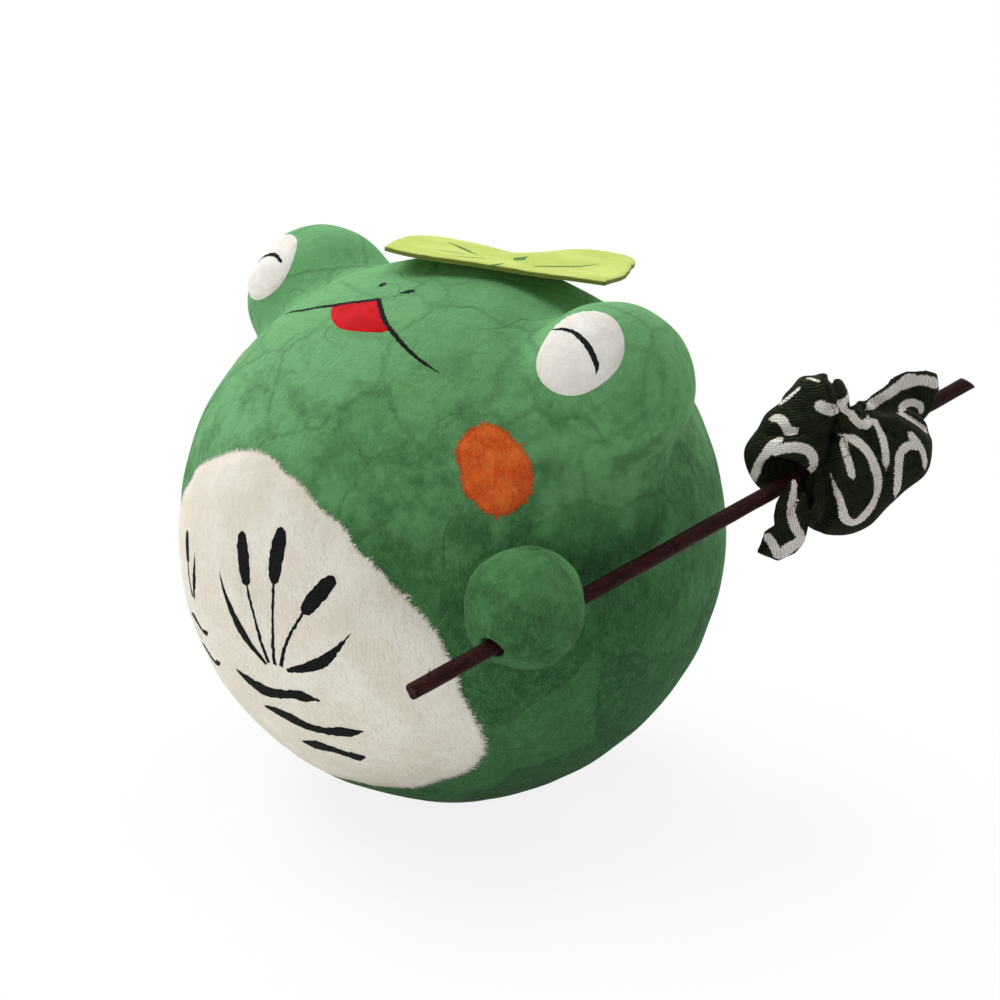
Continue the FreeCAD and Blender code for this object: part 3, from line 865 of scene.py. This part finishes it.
LEFT_EYELID = [
    (-6.1, 2.3), (-4.0, 2.4), (-1.9, 2.3), (0.0, 1.7), (1.5, 1.0), (2.8, 0.1), (3.9, -0.95), (4.65, -2.1),
    (4.8, -3.0),
]
RIGHT_EYELID = [(-2.0, -0.8), (-1.6, 0.25), (-0.6, 1.0), (0.7, 1.65), (2.35, 1.85), (3.4, 1.7), (4.2, 1.5)]
MOUTH_LEFT = [
    (0.4, -15.4), (-2.1, -16.7), (-4.4, -17.6), (-7.0, -18.4), (-10.2, -18.75), (-13.7, -18.8),
    (-17.5, -18.1), (-20.7, -16.9),
]
MOUTH_RIGHT = [
    (0.4, -15.4), (3.0, -17.2), (5.0, -18.4), (7.9, -19.5), (10.9, -20.15), (13.9, -20.4), (16.6, -20.25),
    (18.7, -19.7),
]
MOUTH_LOWER = [
    (-6.9, -18.5), (-5.5, -20.1), (-3.5, -21.4), (-1.1, -22.3), (1.1, -22.4), (3.3, -22.0), (5.2, -21.3),
    (6.7, -20.5), (7.6, -19.6),
]


def mouth_outline():
    """Red paper between the two arms of the mouth line and a round lower edge."""
    right, at = curve_through(MOUTH_RIGHT, 0.2)
    right = right[at < 2.8]
    lower, _ = curve_through(MOUTH_LOWER, 0.2)
    left, at = curve_through(MOUTH_LEFT, 0.2)
    left = left[at < 2.9]
    return np.concatenate([right, lower[::-1], left[:0:-1]])


def make_face():
    outline = mouth_outline()
    pasted_paper(
        "mouth_paper", outline, TOP, RED, "mouth_patch", 0.7, 0.3, 51, thickness=MOUTH_LIFT,
    )

    def over_mouth(flat):
        return INK_LIFT + np.where(
            inside_outline(flat, outline), paper_rise(flat, outline, 0.3, MOUTH_LIFT), THIN_EDGE,
        )

    lines = [
        (MOUTH_LEFT, (0.75, 0.72, 0.66, 0.62, 0.58, 0.50, 0.38, 0.1)),
        (MOUTH_RIGHT, (0.75, 0.70, 0.70, 0.66, 0.62, 0.56, 0.42, 0.08)),
        ([(-2.4, -12.6), (-2.6, -12.0), (-2.9, -11.3)], (0.6, 1.1, 0.7)),
        ([(2.4, -12.85), (3.3, -11.8), (3.85, -11.15)], (0.3, 0.95, 0.6)),
    ]
    painted_lines("mouth_and_nose_lines", lines, TOP, over_mouth, INK, 52, ragged=0.035)
    lid = (0.08, 0.45, 0.6, 0.75, 0.85, 0.9, 0.8, 0.5, 0.08)
    painted_lines("left_eyelid", [(LEFT_EYELID, lid)], left_eye, on_paper, INK, 53, ragged=0.035)
    lid = (0.12, 0.36, 0.56, 0.66, 0.68, 0.6, 0.3)
    painted_lines("right_eyelid", [(RIGHT_EYELID, lid)], right_eye, on_paper, INK, 54, ragged=0.035)


def blade(root, middle, tip, width):
    """Bending leaf of grass in one brush line: narrow at its root and pointed at its tip."""
    return ([root, middle, tip], (0.35 * width, width, 0.05))


def bulrush(root, middle, head, tip, width):
    """Thin stem that carries a long round head, in two brush lines."""
    return [([root, middle, head], (0.7, 0.5, 0.45)), ([head, tip], (0.7 * width, width))]


def ripple(left, right, height, width):
    """Flat wave in one brush line."""
    steps = 6
    corners = []
    for step in range(steps + 1):
        share = step / steps
        rise = 0.5 * math.sin(2.2 * math.pi * share + left) - 0.6 * math.sin(math.pi * share)
        corners.append((left + (right - left) * share, height + rise))
    return (corners, [width * profile for profile in (0.15, 0.75, 1.0, 0.7, 0.6, 0.85, 0.1)])


def round_head(corners, widths):
    """The same brush line with round ends."""
    start, end = np.array(corners[0]), np.array(corners[-1])
    line = [tuple(start + (end - start) * share) for share in (0, 0.06, 0.25, 0.5, 0.75, 0.94, 1)]
    full = max(widths)
    return (line, [full * profile for profile in (0.25, 0.7, 0.95, 1.0, 0.95, 0.7, 0.2)])


def make_belly_drawing():
    """Bulrushes above ripples, in black brush lines."""
    lines = [
        blade((5.0, -9.6), (0.0, -4.5), (-4.6, 3.0), 1.9),
        blade((9.0, -9.6), (15.0, -7.0), (20.5, -1.0), 1.9),
        ripple(-4.0, 13.5, -14.0, 2.5),
        ripple(0.5, 18.5, -19.0, 2.4),
        ripple(5.0, 16.0, -24.0, 2.2),
        blade((-14.6, -5.0), (-13.2, -1.0), (-12.6, 3.5), 1.3),
        ripple(-19.5, -11.0, -9.5, 1.3),
        ripple(-18.0, -9.5, -15.0, 1.3),
    ]
    rushes = [
        bulrush((5.6, -9.2), (4.0, -3.0), (2.2, 2.6), (0.0, 10.4), 2.5),
        bulrush((6.8, -9.2), (7.4, -2.0), (7.7, 4.2), (7.9, 12.8), 2.6),
        bulrush((8.0, -9.2), (10.4, -3.6), (13.2, 0.8), (17.6, 7.2), 2.5),
        bulrush((-15.4, -5.0), (-15.7, -2.0), (-16.0, 0.6), (-16.4, 5.6), 1.7),
    ]
    for stem, head in rushes:
        lines += [stem, round_head(*head)]
    painted_lines("belly_drawing", lines, FRONT, on_paper, INK, 55, ragged=0.05)


make_face()
make_belly_drawing()


# Hand

def hand_surface(points):
    """Small ball of pasted paper with a wrinkle, a hole for the stick, and its back against the body."""
    distance = ball(points, HAND_CENTRE, HAND_RADIUS)
    distance -= 0.13 * waves(points, 9.0, seed=61) + 0.06 * waves(points, 3.4, seed=62)
    wrinkle = np.full(len(points), 1e9)
    for start, end in zip(HAND_WRINKLE, HAND_WRINKLE[1:]):
        wrinkle = np.minimum(wrinkle, capsule(points, HAND_CENTRE + start, HAND_CENTRE + end, 0.0))
    distance += 0.42 * np.exp(-(wrinkle / 0.42) ** 2)
    hole = capsule(points, STICK_START, STICK_START + STICK_ALONG * 2 * STICK_FRONT, HAND_HOLE_RADIUS)
    distance = smooth_cut(distance, hole, 0.5)
    return smooth_cut(distance, body_surface(points) + 0.15, 0.25)


HAND_WRINKLE = np.array([
    (2.6, -8.5, -1.1), (3.36, -8.18, -1.67), (5.71, -6.48, -2.53), (7.35, -4.1, -3.18), (8.23, -0.95, -3.51),
    (8.12, 2.2, -3.21),
])


def make_hand():
    low, high = HAND_CENTRE - HAND_RADIUS - 1, HAND_CENTRE + HAND_RADIUS + 1
    points, faces = surface_net(hand_surface, low, high, HAND_CELL)
    points = settle(evened(points, faces, 1), hand_surface, rounds=2)
    return mesh_piece("frog_hand", points, faces, GREEN, ["left_hand"])


def make_hand_fibres():
    """Fine fibres that stand off the hand's paper, each a thin bent blade."""
    source = random_source(63)
    heading = source.normal(size=(260, 3))
    heading /= np.linalg.norm(heading, axis=1)[:, None]
    roots = settle(HAND_CENTRE + heading * HAND_RADIUS, hand_surface, lift=-0.05)
    clear = (body_surface(roots) > 1.2) & (capsule(roots, STICK_START, BUNDLE_CENTRE, 0.0) > 2.4)
    points, faces = [], []
    for root, outward in zip(roots[clear], heading[clear]):
        along = unit(np.cross(outward, source.normal(size=3)))
        side = np.cross(outward, along)
        reach = source.uniform(0.5, 1.2)
        base = len(points)
        for share, half in ((0.0, 0.045), (0.5, 0.035), (1.0, 0.008)):
            place = root + reach * (share * 0.8 * along + (0.55 * share - 0.25 * share * share) * outward)
            points += [place - side * half, place + side * half]
        faces += [(base, base + 1, base + 3, base + 2), (base + 2, base + 3, base + 5, base + 4)]
    return mesh_piece("hand_fibres", points, faces, GREEN)


# Stick

def make_stick():
    """Round stick, cut flat in front and slanting behind."""
    radius = STICK_DIAMETER / 2
    around, rings = 40, 200
    angle = np.linspace(0, 2 * math.pi, around, endpoint=False)
    side, up = np.cos(angle), np.sin(angle)
    slant = math.tan(math.radians(STICK_END_SLANT))
    far = STICK_LENGTH - radius - slant * up * radius
    near = 0.12 * np.sin(3 * angle + 0.5) * np.sin(angle)
    points = []
    for ring in range(rings + 1):
        share = np.clip((ring - 1) / (rings - 2), 0, 1)
        along = near + (far - near) * share
        axis = STICK_START + along[:, None] * STICK_ALONG
        outward = side[:, None] * STICK_SIDE + up[:, None] * STICK_UP
        rough = 0.022 * waves(axis + outward * radius, 7.0, seed=71)
        rough += 0.012 * waves((axis + outward * radius) - 0.96 * along[:, None] * STICK_ALONG, 0.9, seed=72)
        bevel = 0.16 if ring in (0, rings) else 0.0
        points.append(axis + outward * (radius - 0.03 + np.clip(rough, -0.05, 0.03) - bevel)[:, None])
    points = np.concatenate(points)
    faces = []
    for ring in range(rings):
        for step in range(around):
            ahead = (step + 1) % around
            faces.append((
                ring * around + step, ring * around + ahead,
                (ring + 1) * around + ahead, (ring + 1) * around + step,
            ))
    ends = [STICK_START + 0.10 * STICK_ALONG, STICK_START + (STICK_LENGTH - radius - 0.06) * STICK_ALONG]
    points = np.concatenate([points, ends])
    near_middle, far_middle = len(points) - 2, len(points) - 1
    for step in range(around):
        ahead = (step + 1) % around
        faces.append((near_middle, ahead, step))
        faces.append((far_middle, rings * around + step, rings * around + ahead))
    faces = [face[::-1] for face in faces]
    return mesh_piece("walking_stick", points, faces, WOOD, ["carrying_stick"])


def make_splinter():
    """Small sliver that stands up from the stick near its front end."""
    root = STICK_START + 3.2 * STICK_ALONG + 0.95 * STICK_UP + 0.5 * STICK_SIDE
    rings, around = 6, 6
    angle = np.linspace(0, 2 * math.pi, around, endpoint=False)
    points = []
    for ring in range(rings + 1):
        share = ring / rings
        middle = root + 1.4 * share * STICK_UP + (0.9 * share * share - 0.5 * share) * STICK_ALONG
        radius = 0.20 * (1 - 0.85 * share)
        for turn in angle:
            points.append(middle + radius * (math.cos(turn) * STICK_ALONG + math.sin(turn) * STICK_SIDE))
    faces = [tuple(range(rings * around, (rings + 1) * around)), tuple(range(around))[::-1]]
    for ring in range(rings):
        for step in range(around):
            here, ahead = ring * around + step, ring * around + (step + 1) % around
            faces.append((here, ahead, ahead + around, here + around))
    return mesh_piece("stick_splinter", points, faces, WOOD)


# Leaf

def leaf_outline():
    """Cut edge of the leaf: four smooth runs that meet at its notch, two tips and its point."""
    runs = (
        ((-0.043, 0.157), (-0.213, 0.17), (-0.345, 0.072), (-0.302, -0.115), (-0.132, -0.349)),
        ((-0.132, -0.349), (-0.026, -0.332), (0.123, -0.217), (0.302, -0.094), (0.515, 0.043)),
        ((0.515, 0.043), (0.413, 0.226), (0.23, 0.472)),
        ((0.23, 0.472), (0.119, 0.604), (0.009, 0.651), (-0.051, 0.583), (-0.064, 0.391), (-0.043, 0.157)),
    )
    return np.concatenate([curve_through(np.array(run) * LEAF_LENGTH, 0.3)[0][:-1] for run in runs])


LEAF_WAY = np.array([0.0, math.sin(math.radians(LEAF_TILT)), math.cos(math.radians(LEAF_TILT))])
LEAF_BACK = np.array([0.0, LEAF_WAY[2], -LEAF_WAY[1]])
LEAF_SEAT = BALL_CENTRE + LEAF_WAY * BALL_RADIUS


def on_leaf(flat, height):
    """Places on the leaf, which lifts and dips a little away from where it is glued."""
    flat = np.asarray(flat)
    wave = waves(np.column_stack([flat, np.zeros(len(flat))]), 24.0, seed=81)
    away = np.clip(np.linalg.norm(flat, axis=1) / 9.0, 0, 1)
    height = height + 0.16 * (1 + wave) * away
    return LEAF_SEAT + flat[:, :1] * [1.0, 0.0, 0.0] + flat[:, 1:] * LEAF_BACK + height[:, None] * LEAF_WAY


def make_leaf():
    """Thick cut paper: a face above, a face below, and a cut edge that is a little uneven."""
    outline = leaf_outline()
    source = random_source(82)
    tangent = np.roll(outline, -1, axis=0) - np.roll(outline, 1, axis=0)
    inward = np.stack([-tangent[:, 1], tangent[:, 0]], axis=1) / np.linalg.norm(tangent, axis=1)[:, None]
    upper, faces = filled_outline(outline + inward * 0.12, 1.2, 83)
    count, rim = len(upper), len(outline)
    rough = 0.05 * jagged(rim, 1.5, source)
    levels = [
        (upper, np.full(count, LEAF_THICKNESS)),
        (upper, np.full(count, 0.05)),
        (outline + inward * rough[:, None], np.full(rim, LEAF_THICKNESS - 0.12)),
        (outline + inward * rough[::-1][:, None], np.full(rim, 0.16)),
    ]
    points = np.concatenate([on_leaf(flat, height) for flat, height in levels])
    top = facing_out(points, faces, LEAF_WAY)
    made = [tuple(face) for face in top]
    made += [tuple(corner + count for corner in face)[::-1] for face in top]
    high, low = 2 * count, 2 * count + rim
    for index in range(rim):
        ahead = (index + 1) % rim
        made.append((index, high + index, high + ahead, ahead))
        made.append((high + index, low + index, low + ahead, high + ahead))
        made.append((low + index, count + index, count + ahead, low + ahead))
    leaf = mesh_piece("leaf", points, made, LEAF, ["leaf_hat"])
    mesh = bmesh.new()
    mesh.from_mesh(leaf.data)
    bmesh.ops.recalc_face_normals(mesh, faces=mesh.faces)
    mesh.to_mesh(leaf.data)
    mesh.free()
    return leaf


def make_leaf_veins():
    veins = [
        ([(-10.5, 1.0), (-6.0, -0.2), (-2.5, -1.5), (0.0, -2.2)], (0.15, 0.85, 0.75, 0.1)),
        ([(2.0, -9.0), (3.4, -6.0), (5.0, -2.5)], (0.08, 0.4, 0.08)),
        ([(9.6, -10.0), (9.2, -7.5), (8.5, -4.5)], (0.12, 0.6, 0.1)),
        ([(7.5, 17.5), (8.6, 11.5), (10.0, 5.0), (11.0, -0.5)], (0.1, 0.55, 0.8, 0.12)),
        ([(2.0, 7.2), (3.0, 5.3), (4.3, 3.0), (5.5, 0.8)], (0.12, 0.6, 2.0, 0.6)),
        ([(-4.5, -8.0), (-2.0, -6.0), (0.5, -4.2)], (0.08, 0.36, 0.08)),
    ]
    source = random_source(84)
    flat, faces = [], []
    for corners, widths in veins:
        line, at = curve_through(corners, 0.3)
        half = np.interp(at, np.arange(len(widths)), widths) / 2
        heading = np.gradient(line, axis=0)
        side = np.stack([-heading[:, 1], heading[:, 0]], axis=1) / np.linalg.norm(heading, axis=1)[:, None]
        waver = 0.03 * jagged(len(line), 1.5, source)
        start = len(flat)
        pair = [line + side * (half + waver)[:, None], line - side * half[:, None]]
        flat.extend(np.stack(pair, axis=1).reshape(-1, 2))
        for row in range(len(line) - 1):
            corner = start + 2 * row
            faces.append((corner, corner + 1, corner + 3, corner + 2))
    points = on_leaf(flat, np.full(len(flat), LEAF_THICKNESS + 0.035))
    return mesh_piece("leaf_veins", points, facing_out(points, faces, LEAF_WAY), LEAF_INK)


make_hand()
make_hand_fibres()
make_stick()
make_splinter()
make_leaf()
make_leaf_veins()


# Cloth bundle
# Its own frame: X to the right, Y upwards and Z out of the face where it is tied, about the
# middle of the bundle on the stick's axis.

BUNDLE_FACE = outward_direction(BUNDLE_FACE_OUTWARD, BUNDLE_FACE_UPWARD)
BUNDLE_AXES = np.array([*plane_frame(BUNDLE_FACE), BUNDLE_FACE])
STICK_IN_BUNDLE = BUNDLE_AXES @ STICK_ALONG
BUNDLE_LOW, BUNDLE_HIGH = (-18.0, -19.0, -10.5), (18.0, 15.0, 13.0)
PINCH = np.array([-1.5, 6.0, 4.0])
REAR_TAIL = np.array([
    (2.0, 5.8), (4.1, 8.5), (7.1, 11.5), (10.0, 12.7), (13.2, 13.0), (15.2, 12.4), (15.5, 9.9), (14.6, 7.0),
    (12.5, 4.3), (8.0, 3.6),
])
FRONT_TAIL = np.array([
    (-3.5, -4.0), (-8.2, -3.6), (-10.0, -4.4), (-11.7, -6.4), (-11.9, -9.7), (-11.6, -11.4), (-13.2, -12.3),
    (-14.2, -15.4), (-11.0, -17.0), (-8.3, -15.6), (-5.8, -13.2), (-4.0, -9.0),
])
FRONT_CREASES = (
    (((-2.1, 7.4), (-3.1, 6.2), (-4.0, 4.8)), 0.7, 0.6),
    (((-2.6, 11.0), (-1.8, 9.4), (-1.3, 7.6)), 0.9, 0.6),
    (((1.0, 9.0), (0.9, 7.6), (0.3, 6.7)), 1.2, 0.7),
    (((-2.1, 4.8), (-3.1, -3.6), (-2.4, -8.3), (-5.0, -12.9)), 1.5, 1.0),
    (((-12.1, 2.4), (-8.6, 2.9), (-2.1, 2.1)), 0.8, 0.7),
    (((-1.6, 6.7), (1.4, 4.3), (4.1, 0.9), (6.0, -3.3)), 0.6, 0.6),
    (((2.9, 6.0), (5.7, 3.1), (7.6, 1.9)), 0.5, 0.6),
    (((-2.1, 2.4), (0.7, -0.5), (4.1, -3.8), (4.3, -7.2)), 0.3, 0.6),
    (((2.6, 6.2), (7.9, 6.0), (13.1, 2.9)), 0.9, 0.7),
    (((-8.1, -3.8), (-8.1, -7.2), (-9.3, -9.5)), 0.6, 0.6),
    (((-5.0, -3.8), (-3.1, -3.8)), 0.8, 0.9),
    (((-6.9, -3.8), (-6.2, -7.2), (-6.4, -10.7), (-5.9, -13.1)), 0.9, 0.9),
)
SCROLLS = (
    (((-14.2, -6.4), (-14.5, -4.3), (-13.3, -1.0), (-11.7, 1.3), (-10.5, 1.9)), 1.19),
    (((-12.9, -0.5), (-10.9, 0.2), (-8.6, 0.5), (-6.4, -0.2), (-5.6, -1.7), (-5.9, -2.9),
      (-7.8, -3.5)), 1.24),
    (((-8.2, -3.8), (-8.6, -5.5), (-8.8, -7.2), (-9.3, -8.6), (-9.0, -10.7), (-8.3, -12.2),
      (-6.9, -13.6)), 1.19),
    (((-12.9, -12.9), (-11.9, -14.3), (-10.9, -16.5)), 1.07),
    (((-10.9, -16.2), (-8.6, -14.3), (-6.4, -13.6)), 1.43),
    (((-12.1, 5.0), (-10.9, 5.0), (-10.0, 4.0), (-9.3, 2.9), (-8.1, 3.4)), 1.19),
    (((-6.2, 11.3), (-4.7, 10.7)), 0.71),
    (((-10.5, 7.1), (-7.4, 9.8)), 0.71),
    (((-5.0, 7.0), (-3.6, 6.4), (-2.1, 6.1)), 1.43),
    (((-2.1, 7.1), (0.0, 8.1), (0.3, 9.3)), 0.95),
    (((-1.6, 6.7), (0.0, 6.0), (1.2, 4.5), (2.6, 4.0), (3.1, 5.5)), 1.07),
    (((3.6, 5.0), (4.5, 3.6), (5.3, 0.9), (5.7, -2.9)), 0.9),
    (((-1.6, 2.6), (0.3, 1.9), (2.2, 0.5), (3.6, -1.9), (4.3, -4.8), (3.8, -7.6), (2.4, -9.8),
      (0.7, -11.0), (-0.7, -10.3), (-1.4, -8.3), (-2.1, -6.2), (-2.8, -3.6)), 1.14),
    (((-1.2, 2.1), (-0.7, -0.0), (-0.2, -2.2), (0.3, -4.3)), 1.0),
    (((9.1, 2.9), (10.5, 1.4), (11.7, -0.5), (12.2, -2.9)), 0.9),
    (((11.5, 0.2), (9.6, 0.9), (8.1, -0.0), (7.6, -2.4), (7.6, -5.3), (7.6, -7.2)), 1.07),
    (((2.9, 6.4), (5.0, 7.9), (7.4, 9.3), (9.3, 10.7), (11.2, 12.1)), 1.19),
    (((8.8, 10.2), (12.2, 11.2), (15.5, 10.5)), 1.31),
    (((8.6, 6.0), (9.3, 7.1), (11.0, 7.7), (12.5, 6.9), (12.2, 6.2)), 0.95),
    (((8.1, 6.0), (10.5, 4.5), (13.1, 2.9)), 0.83),
)


def tapered(points, start, end, start_radius, end_radius):
    """Rounded cone between two balls."""
    start, end = np.array(start), np.array(end)
    along = end - start
    share = np.clip((points - start) @ along / (along @ along), 0, 1)
    middle = start + share[:, None] * along
    return np.linalg.norm(points - middle, axis=1) - start_radius - (end_radius - start_radius) * share


def line_distance(points, corners):
    """Distance in the bundle's face from a run of straight lines."""
    nearest = np.full(len(points), 1e9)
    flat = points[:, :2]
    for start, end in zip(corners, corners[1:]):
        start, along = np.array(start), np.array(end) - np.array(start)
        share = np.clip((flat - start) @ along / (along @ along), 0, 1)
        nearest = np.minimum(nearest, np.linalg.norm(flat - start - share[:, None] * along, axis=1))
    return nearest


def flat_flap(points, outline, middle_height, half_thickness):
    """Flap of doubled cloth: an outline with a soft rim and a height over the bundle's face."""
    edge = line_distance(points, np.concatenate([outline, outline[:1]]))
    edge = np.where(inside_outline(points[:, :2], outline), -edge, edge)
    return smooth_cut(np.abs(points[:, 2] - middle_height) - half_thickness, -edge, 1.2)


def bundle_surface(points):
    """Tied bundle: a full bag, a loop over the stick, two tails, and folds drawn in at the knot."""
    x, y, z = points.T
    bag = smooth_union(
        tapered(points, PINCH, (-1.0, -5.0, 1.0), 2.5, 8.0),
        tapered(points, PINCH, (7.0, 0.6, 0.0), 2.5, 6.6), 2.0,
    )
    bag = smooth_union(bag, tapered(points, (-1.0, -5.0, 1.0), (7.0, 0.6, 0.0), 7.9, 6.6), 1.0)
    loop = tapered(points, (-4.2, 6.5, 3.0), (-9.0, -0.5, 3.0), 5.5, 6.6)
    distance = smooth_union(bag, loop, 0.9)
    ruffle = 0.5 * np.sin(1.1 * x + 0.5 * y) + 0.25 * np.sin(2.3 * y - 0.8 * x)
    rear = flat_flap(points, REAR_TAIL, 3.2 - 0.5 * x + 0.7 * np.sin(0.55 * (x + y)), 0.75)
    front = flat_flap(points, FRONT_TAIL, 9.7 + 0.22 * (y + 7.0) + ruffle * 0.6, 0.8)
    distance = smooth_union(distance, rear, 1.0)
    distance = smooth_union(distance, front, 0.9)
    face = np.clip((z + 1.0) / 3.0, 0, 1)
    turn = np.arctan2(y - PINCH[1], x - PINCH[0])
    spread = np.hypot(x - PINCH[0], y - PINCH[1])
    gathered = np.clip(spread / 4.0, 0, 1) * np.clip((17.0 - spread) / 8.0, 0, 1)
    distance = distance - 0.14 * np.sin(13 * turn + 0.35 * spread) * gathered
    distance = distance - 0.12 * waves(points, 7.5, seed=91)
    for corners, depth, width in FRONT_CREASES:
        distance = distance + face * depth * np.exp(-(line_distance(points, corners) / width) ** 2)
    mouth_middle = np.array([-10.3, -3.2, 7.2])
    mouth = tapered(points, mouth_middle - STICK_IN_BUNDLE * 8, mouth_middle + STICK_IN_BUNDLE * 6, 3.3, 2.3)
    distance = smooth_cut(distance, mouth, 0.8)
    reach = STICK_IN_BUNDLE * STICK_LENGTH
    hole = capsule(points, -reach, reach, STICK_DIAMETER / 2 + BUNDLE_HOLE_GAP)
    return smooth_cut(distance, hole, 0.25)


def on_bundle(flat, towards):
    """Places on the bundle's surface seen along its face's direction, and which of them meet it."""
    points = np.column_stack([flat[:, 0] * towards, flat[:, 1], np.full(len(flat), 18.0 * towards)])
    for _ in range(60):
        points[:, 2] -= towards * 0.8 * np.clip(bundle_surface(points), -2, 2)
    return points, np.abs(bundle_surface(points)) < 0.15


def scroll_distance(points):
    """Distance from the nearest pale line of the pattern's edge: below nothing on the line."""
    samples, halves = [], []
    for corners, width in SCROLLS:
        line, at = curve_through(corners, 0.2)
        share = at / at[-1]
        ends = np.clip(np.minimum(share, 1 - share) * 9, 0.25, 1)
        samples.append(line)
        halves.append(0.5 * width * BRUSH_SPREAD * ends)
    flat, half = np.concatenate(samples), np.concatenate(halves)
    nearest = np.full(len(points), 9.0)
    for towards in (1.0, -1.0):
        placed, met = on_bundle(flat, towards)
        for place, size in zip(placed[met], half[met]):
            close = np.abs(points[:, 0] - place[0]) < 3.5
            gap = np.linalg.norm(points[close] - place, axis=1) - size
            nearest[close] = np.minimum(nearest[close], gap)
    return nearest


def rib_place(points):
    """How far across the cloth's ribs each point lies, by the way the cloth is turned there."""
    x, y, z = points.T
    on_bag = 0.65 * x + 0.76 * y
    on_loop = 0.98 * y - 0.2 * x + 0.3 * z
    on_tail = 0.97 * x + 0.15 * y
    loop = (x < -2.0 - 0.35 * (y - 5.0)) & (y > -4.5 + 0.35 * (x + 11.0))
    tail = ((x > 2.5) & (y > 5.0) & (y > 0.62 * x - 4.0)) | ((x < -4.5) & (y < -4.5))
    return np.where(tail, on_tail, np.where(loop, on_loop, on_bag))


def make_bundle():
    points, faces = surface_net(bundle_surface, BUNDLE_LOW, BUNDLE_HIGH, BUNDLE_CELL)
    points = evened(points, faces, 1)
    points = settle(points, bundle_surface, rounds=2)
    to_scroll, rib = scroll_distance(points), rib_place(points)
    placed = BUNDLE_CENTRE + points @ BUNDLE_AXES
    bundle = mesh_piece("wrapping_cloth", placed, faces, CLOTH, ["cloth_bundle"])
    for name, values in (("to_scroll", to_scroll), ("rib", rib)):
        bundle.data.attributes.new(name, "FLOAT", "POINT").data.foreach_set("value", values)
    return bundle


make_bundle()


# Camera, light and floor

def make_camera():
    data = bpy.data.cameras.new("camera")
    data.lens = CAMERA_LENS
    data.sensor_width = SENSOR_WIDTH
    data.clip_start, data.clip_end = 0.01, 20
    camera = in_scene("camera", data)
    turn, lift = math.radians(CAMERA_AZIMUTH), math.radians(CAMERA_ELEVATION)
    back = Vector((math.sin(turn) * math.cos(lift), -math.cos(turn) * math.cos(lift), math.sin(lift)))
    camera.location = CAMERA_PLACE
    camera.rotation_mode = "QUATERNION"
    camera.rotation_quaternion = (-back).to_track_quat("-Z", "Y")
    bpy.context.scene.camera = camera


def make_lamp(name, place, size, watts):
    data = bpy.data.lights.new(name, "AREA")
    data.shape = "DISK"
    data.size = size
    data.energy = watts
    lamp = in_scene(name, data)
    middle = Vector(BALL_CENTRE * MILLIMETRE)
    lamp.location = middle + Vector(place)
    lamp.rotation_mode = "QUATERNION"
    lamp.rotation_quaternion = Vector(place).to_track_quat("Z", "Y")


def seen_directly(tree):
    """1 for camera, mirror and glass rays, which see the white studio, and 0 for the light that falls."""
    path = tree.nodes.new("ShaderNodeLightPath")
    share = path.outputs["Is Camera Ray"]
    for other in ("Is Glossy Ray", "Is Transmission Ray"):
        larger = tree.nodes.new("ShaderNodeMath")
        larger.operation = "MAXIMUM"
        tree.links.new(share, larger.inputs[0])
        tree.links.new(path.outputs[other], larger.inputs[1])
        share = larger.outputs[0]
    return share


def make_world():
    world = bpy.data.worlds.new("studio")
    bpy.context.scene.world = world
    world.use_nodes = True
    tree = world.node_tree
    background = tree.nodes["Background"]
    background.inputs["Color"].default_value = (1, 1, 1, 1)
    level = tree.nodes.new("ShaderNodeMapRange")
    tree.links.new(seen_directly(tree), level.inputs["Value"])
    level.inputs["To Min"].default_value = WORLD_LIGHT
    level.inputs["To Max"].default_value = 1.0
    tree.links.new(level.outputs["Result"], background.inputs["Strength"])


def make_floor():
    """Pale floor that keeps a faint shadow near the frog and turns plain white further out."""
    mesh = bpy.data.meshes.new("floor")
    half = 1.5
    corners = [(-half, -half, 0), (half, -half, 0), (half, half, 0), (-half, half, 0)]
    mesh.from_pydata(corners, [], [(0, 1, 2, 3)])
    floor = in_scene("floor", mesh)
    material = bpy.data.materials.new("pale_floor")
    material.use_nodes = True
    tree = material.node_tree
    paper = tree.nodes["Principled BSDF"]
    paper.inputs["Base Color"].default_value = (0.9, 0.9, 0.9, 1)
    paper.inputs["Roughness"].default_value = 0.95
    paper.inputs["Specular IOR Level"].default_value = 0.0
    white = tree.nodes.new("ShaderNodeEmission")
    white.inputs["Color"].default_value = (1, 1, 1, 1)
    place = tree.nodes.new("ShaderNodeTexCoord")
    distance = tree.nodes.new("ShaderNodeVectorMath")
    distance.operation = "LENGTH"
    tree.links.new(place.outputs["Object"], distance.inputs[0])
    fade = tree.nodes.new("ShaderNodeMapRange")
    fade.interpolation_type = "SMOOTHSTEP"
    tree.links.new(distance.outputs["Value"], fade.inputs["Value"])
    for key, value in (("From Min", 0.03), ("From Max", 0.14), ("To Min", FLOOR_WHITE), ("To Max", 1.0)):
        fade.inputs[key].default_value = value
    share = tree.nodes.new("ShaderNodeMath")
    share.operation = "MULTIPLY"
    tree.links.new(fade.outputs["Result"], share.inputs[0])
    tree.links.new(seen_directly(tree), share.inputs[1])
    mixed = tree.nodes.new("ShaderNodeMixShader")
    tree.links.new(share.outputs[0], mixed.inputs[0])
    tree.links.new(paper.outputs[0], mixed.inputs[1])
    tree.links.new(white.outputs[0], mixed.inputs[2])
    tree.links.new(mixed.outputs[0], tree.nodes["Material Output"].inputs["Surface"])
    mesh.materials.append(material)


make_camera()
make_world()
make_floor()
for name, outward, upward, distance, size, watts in LAMPS:
    make_lamp(name, outward_direction(outward, upward) * distance, size, watts)
bpy.context.scene.view_settings.view_transform = "Standard"
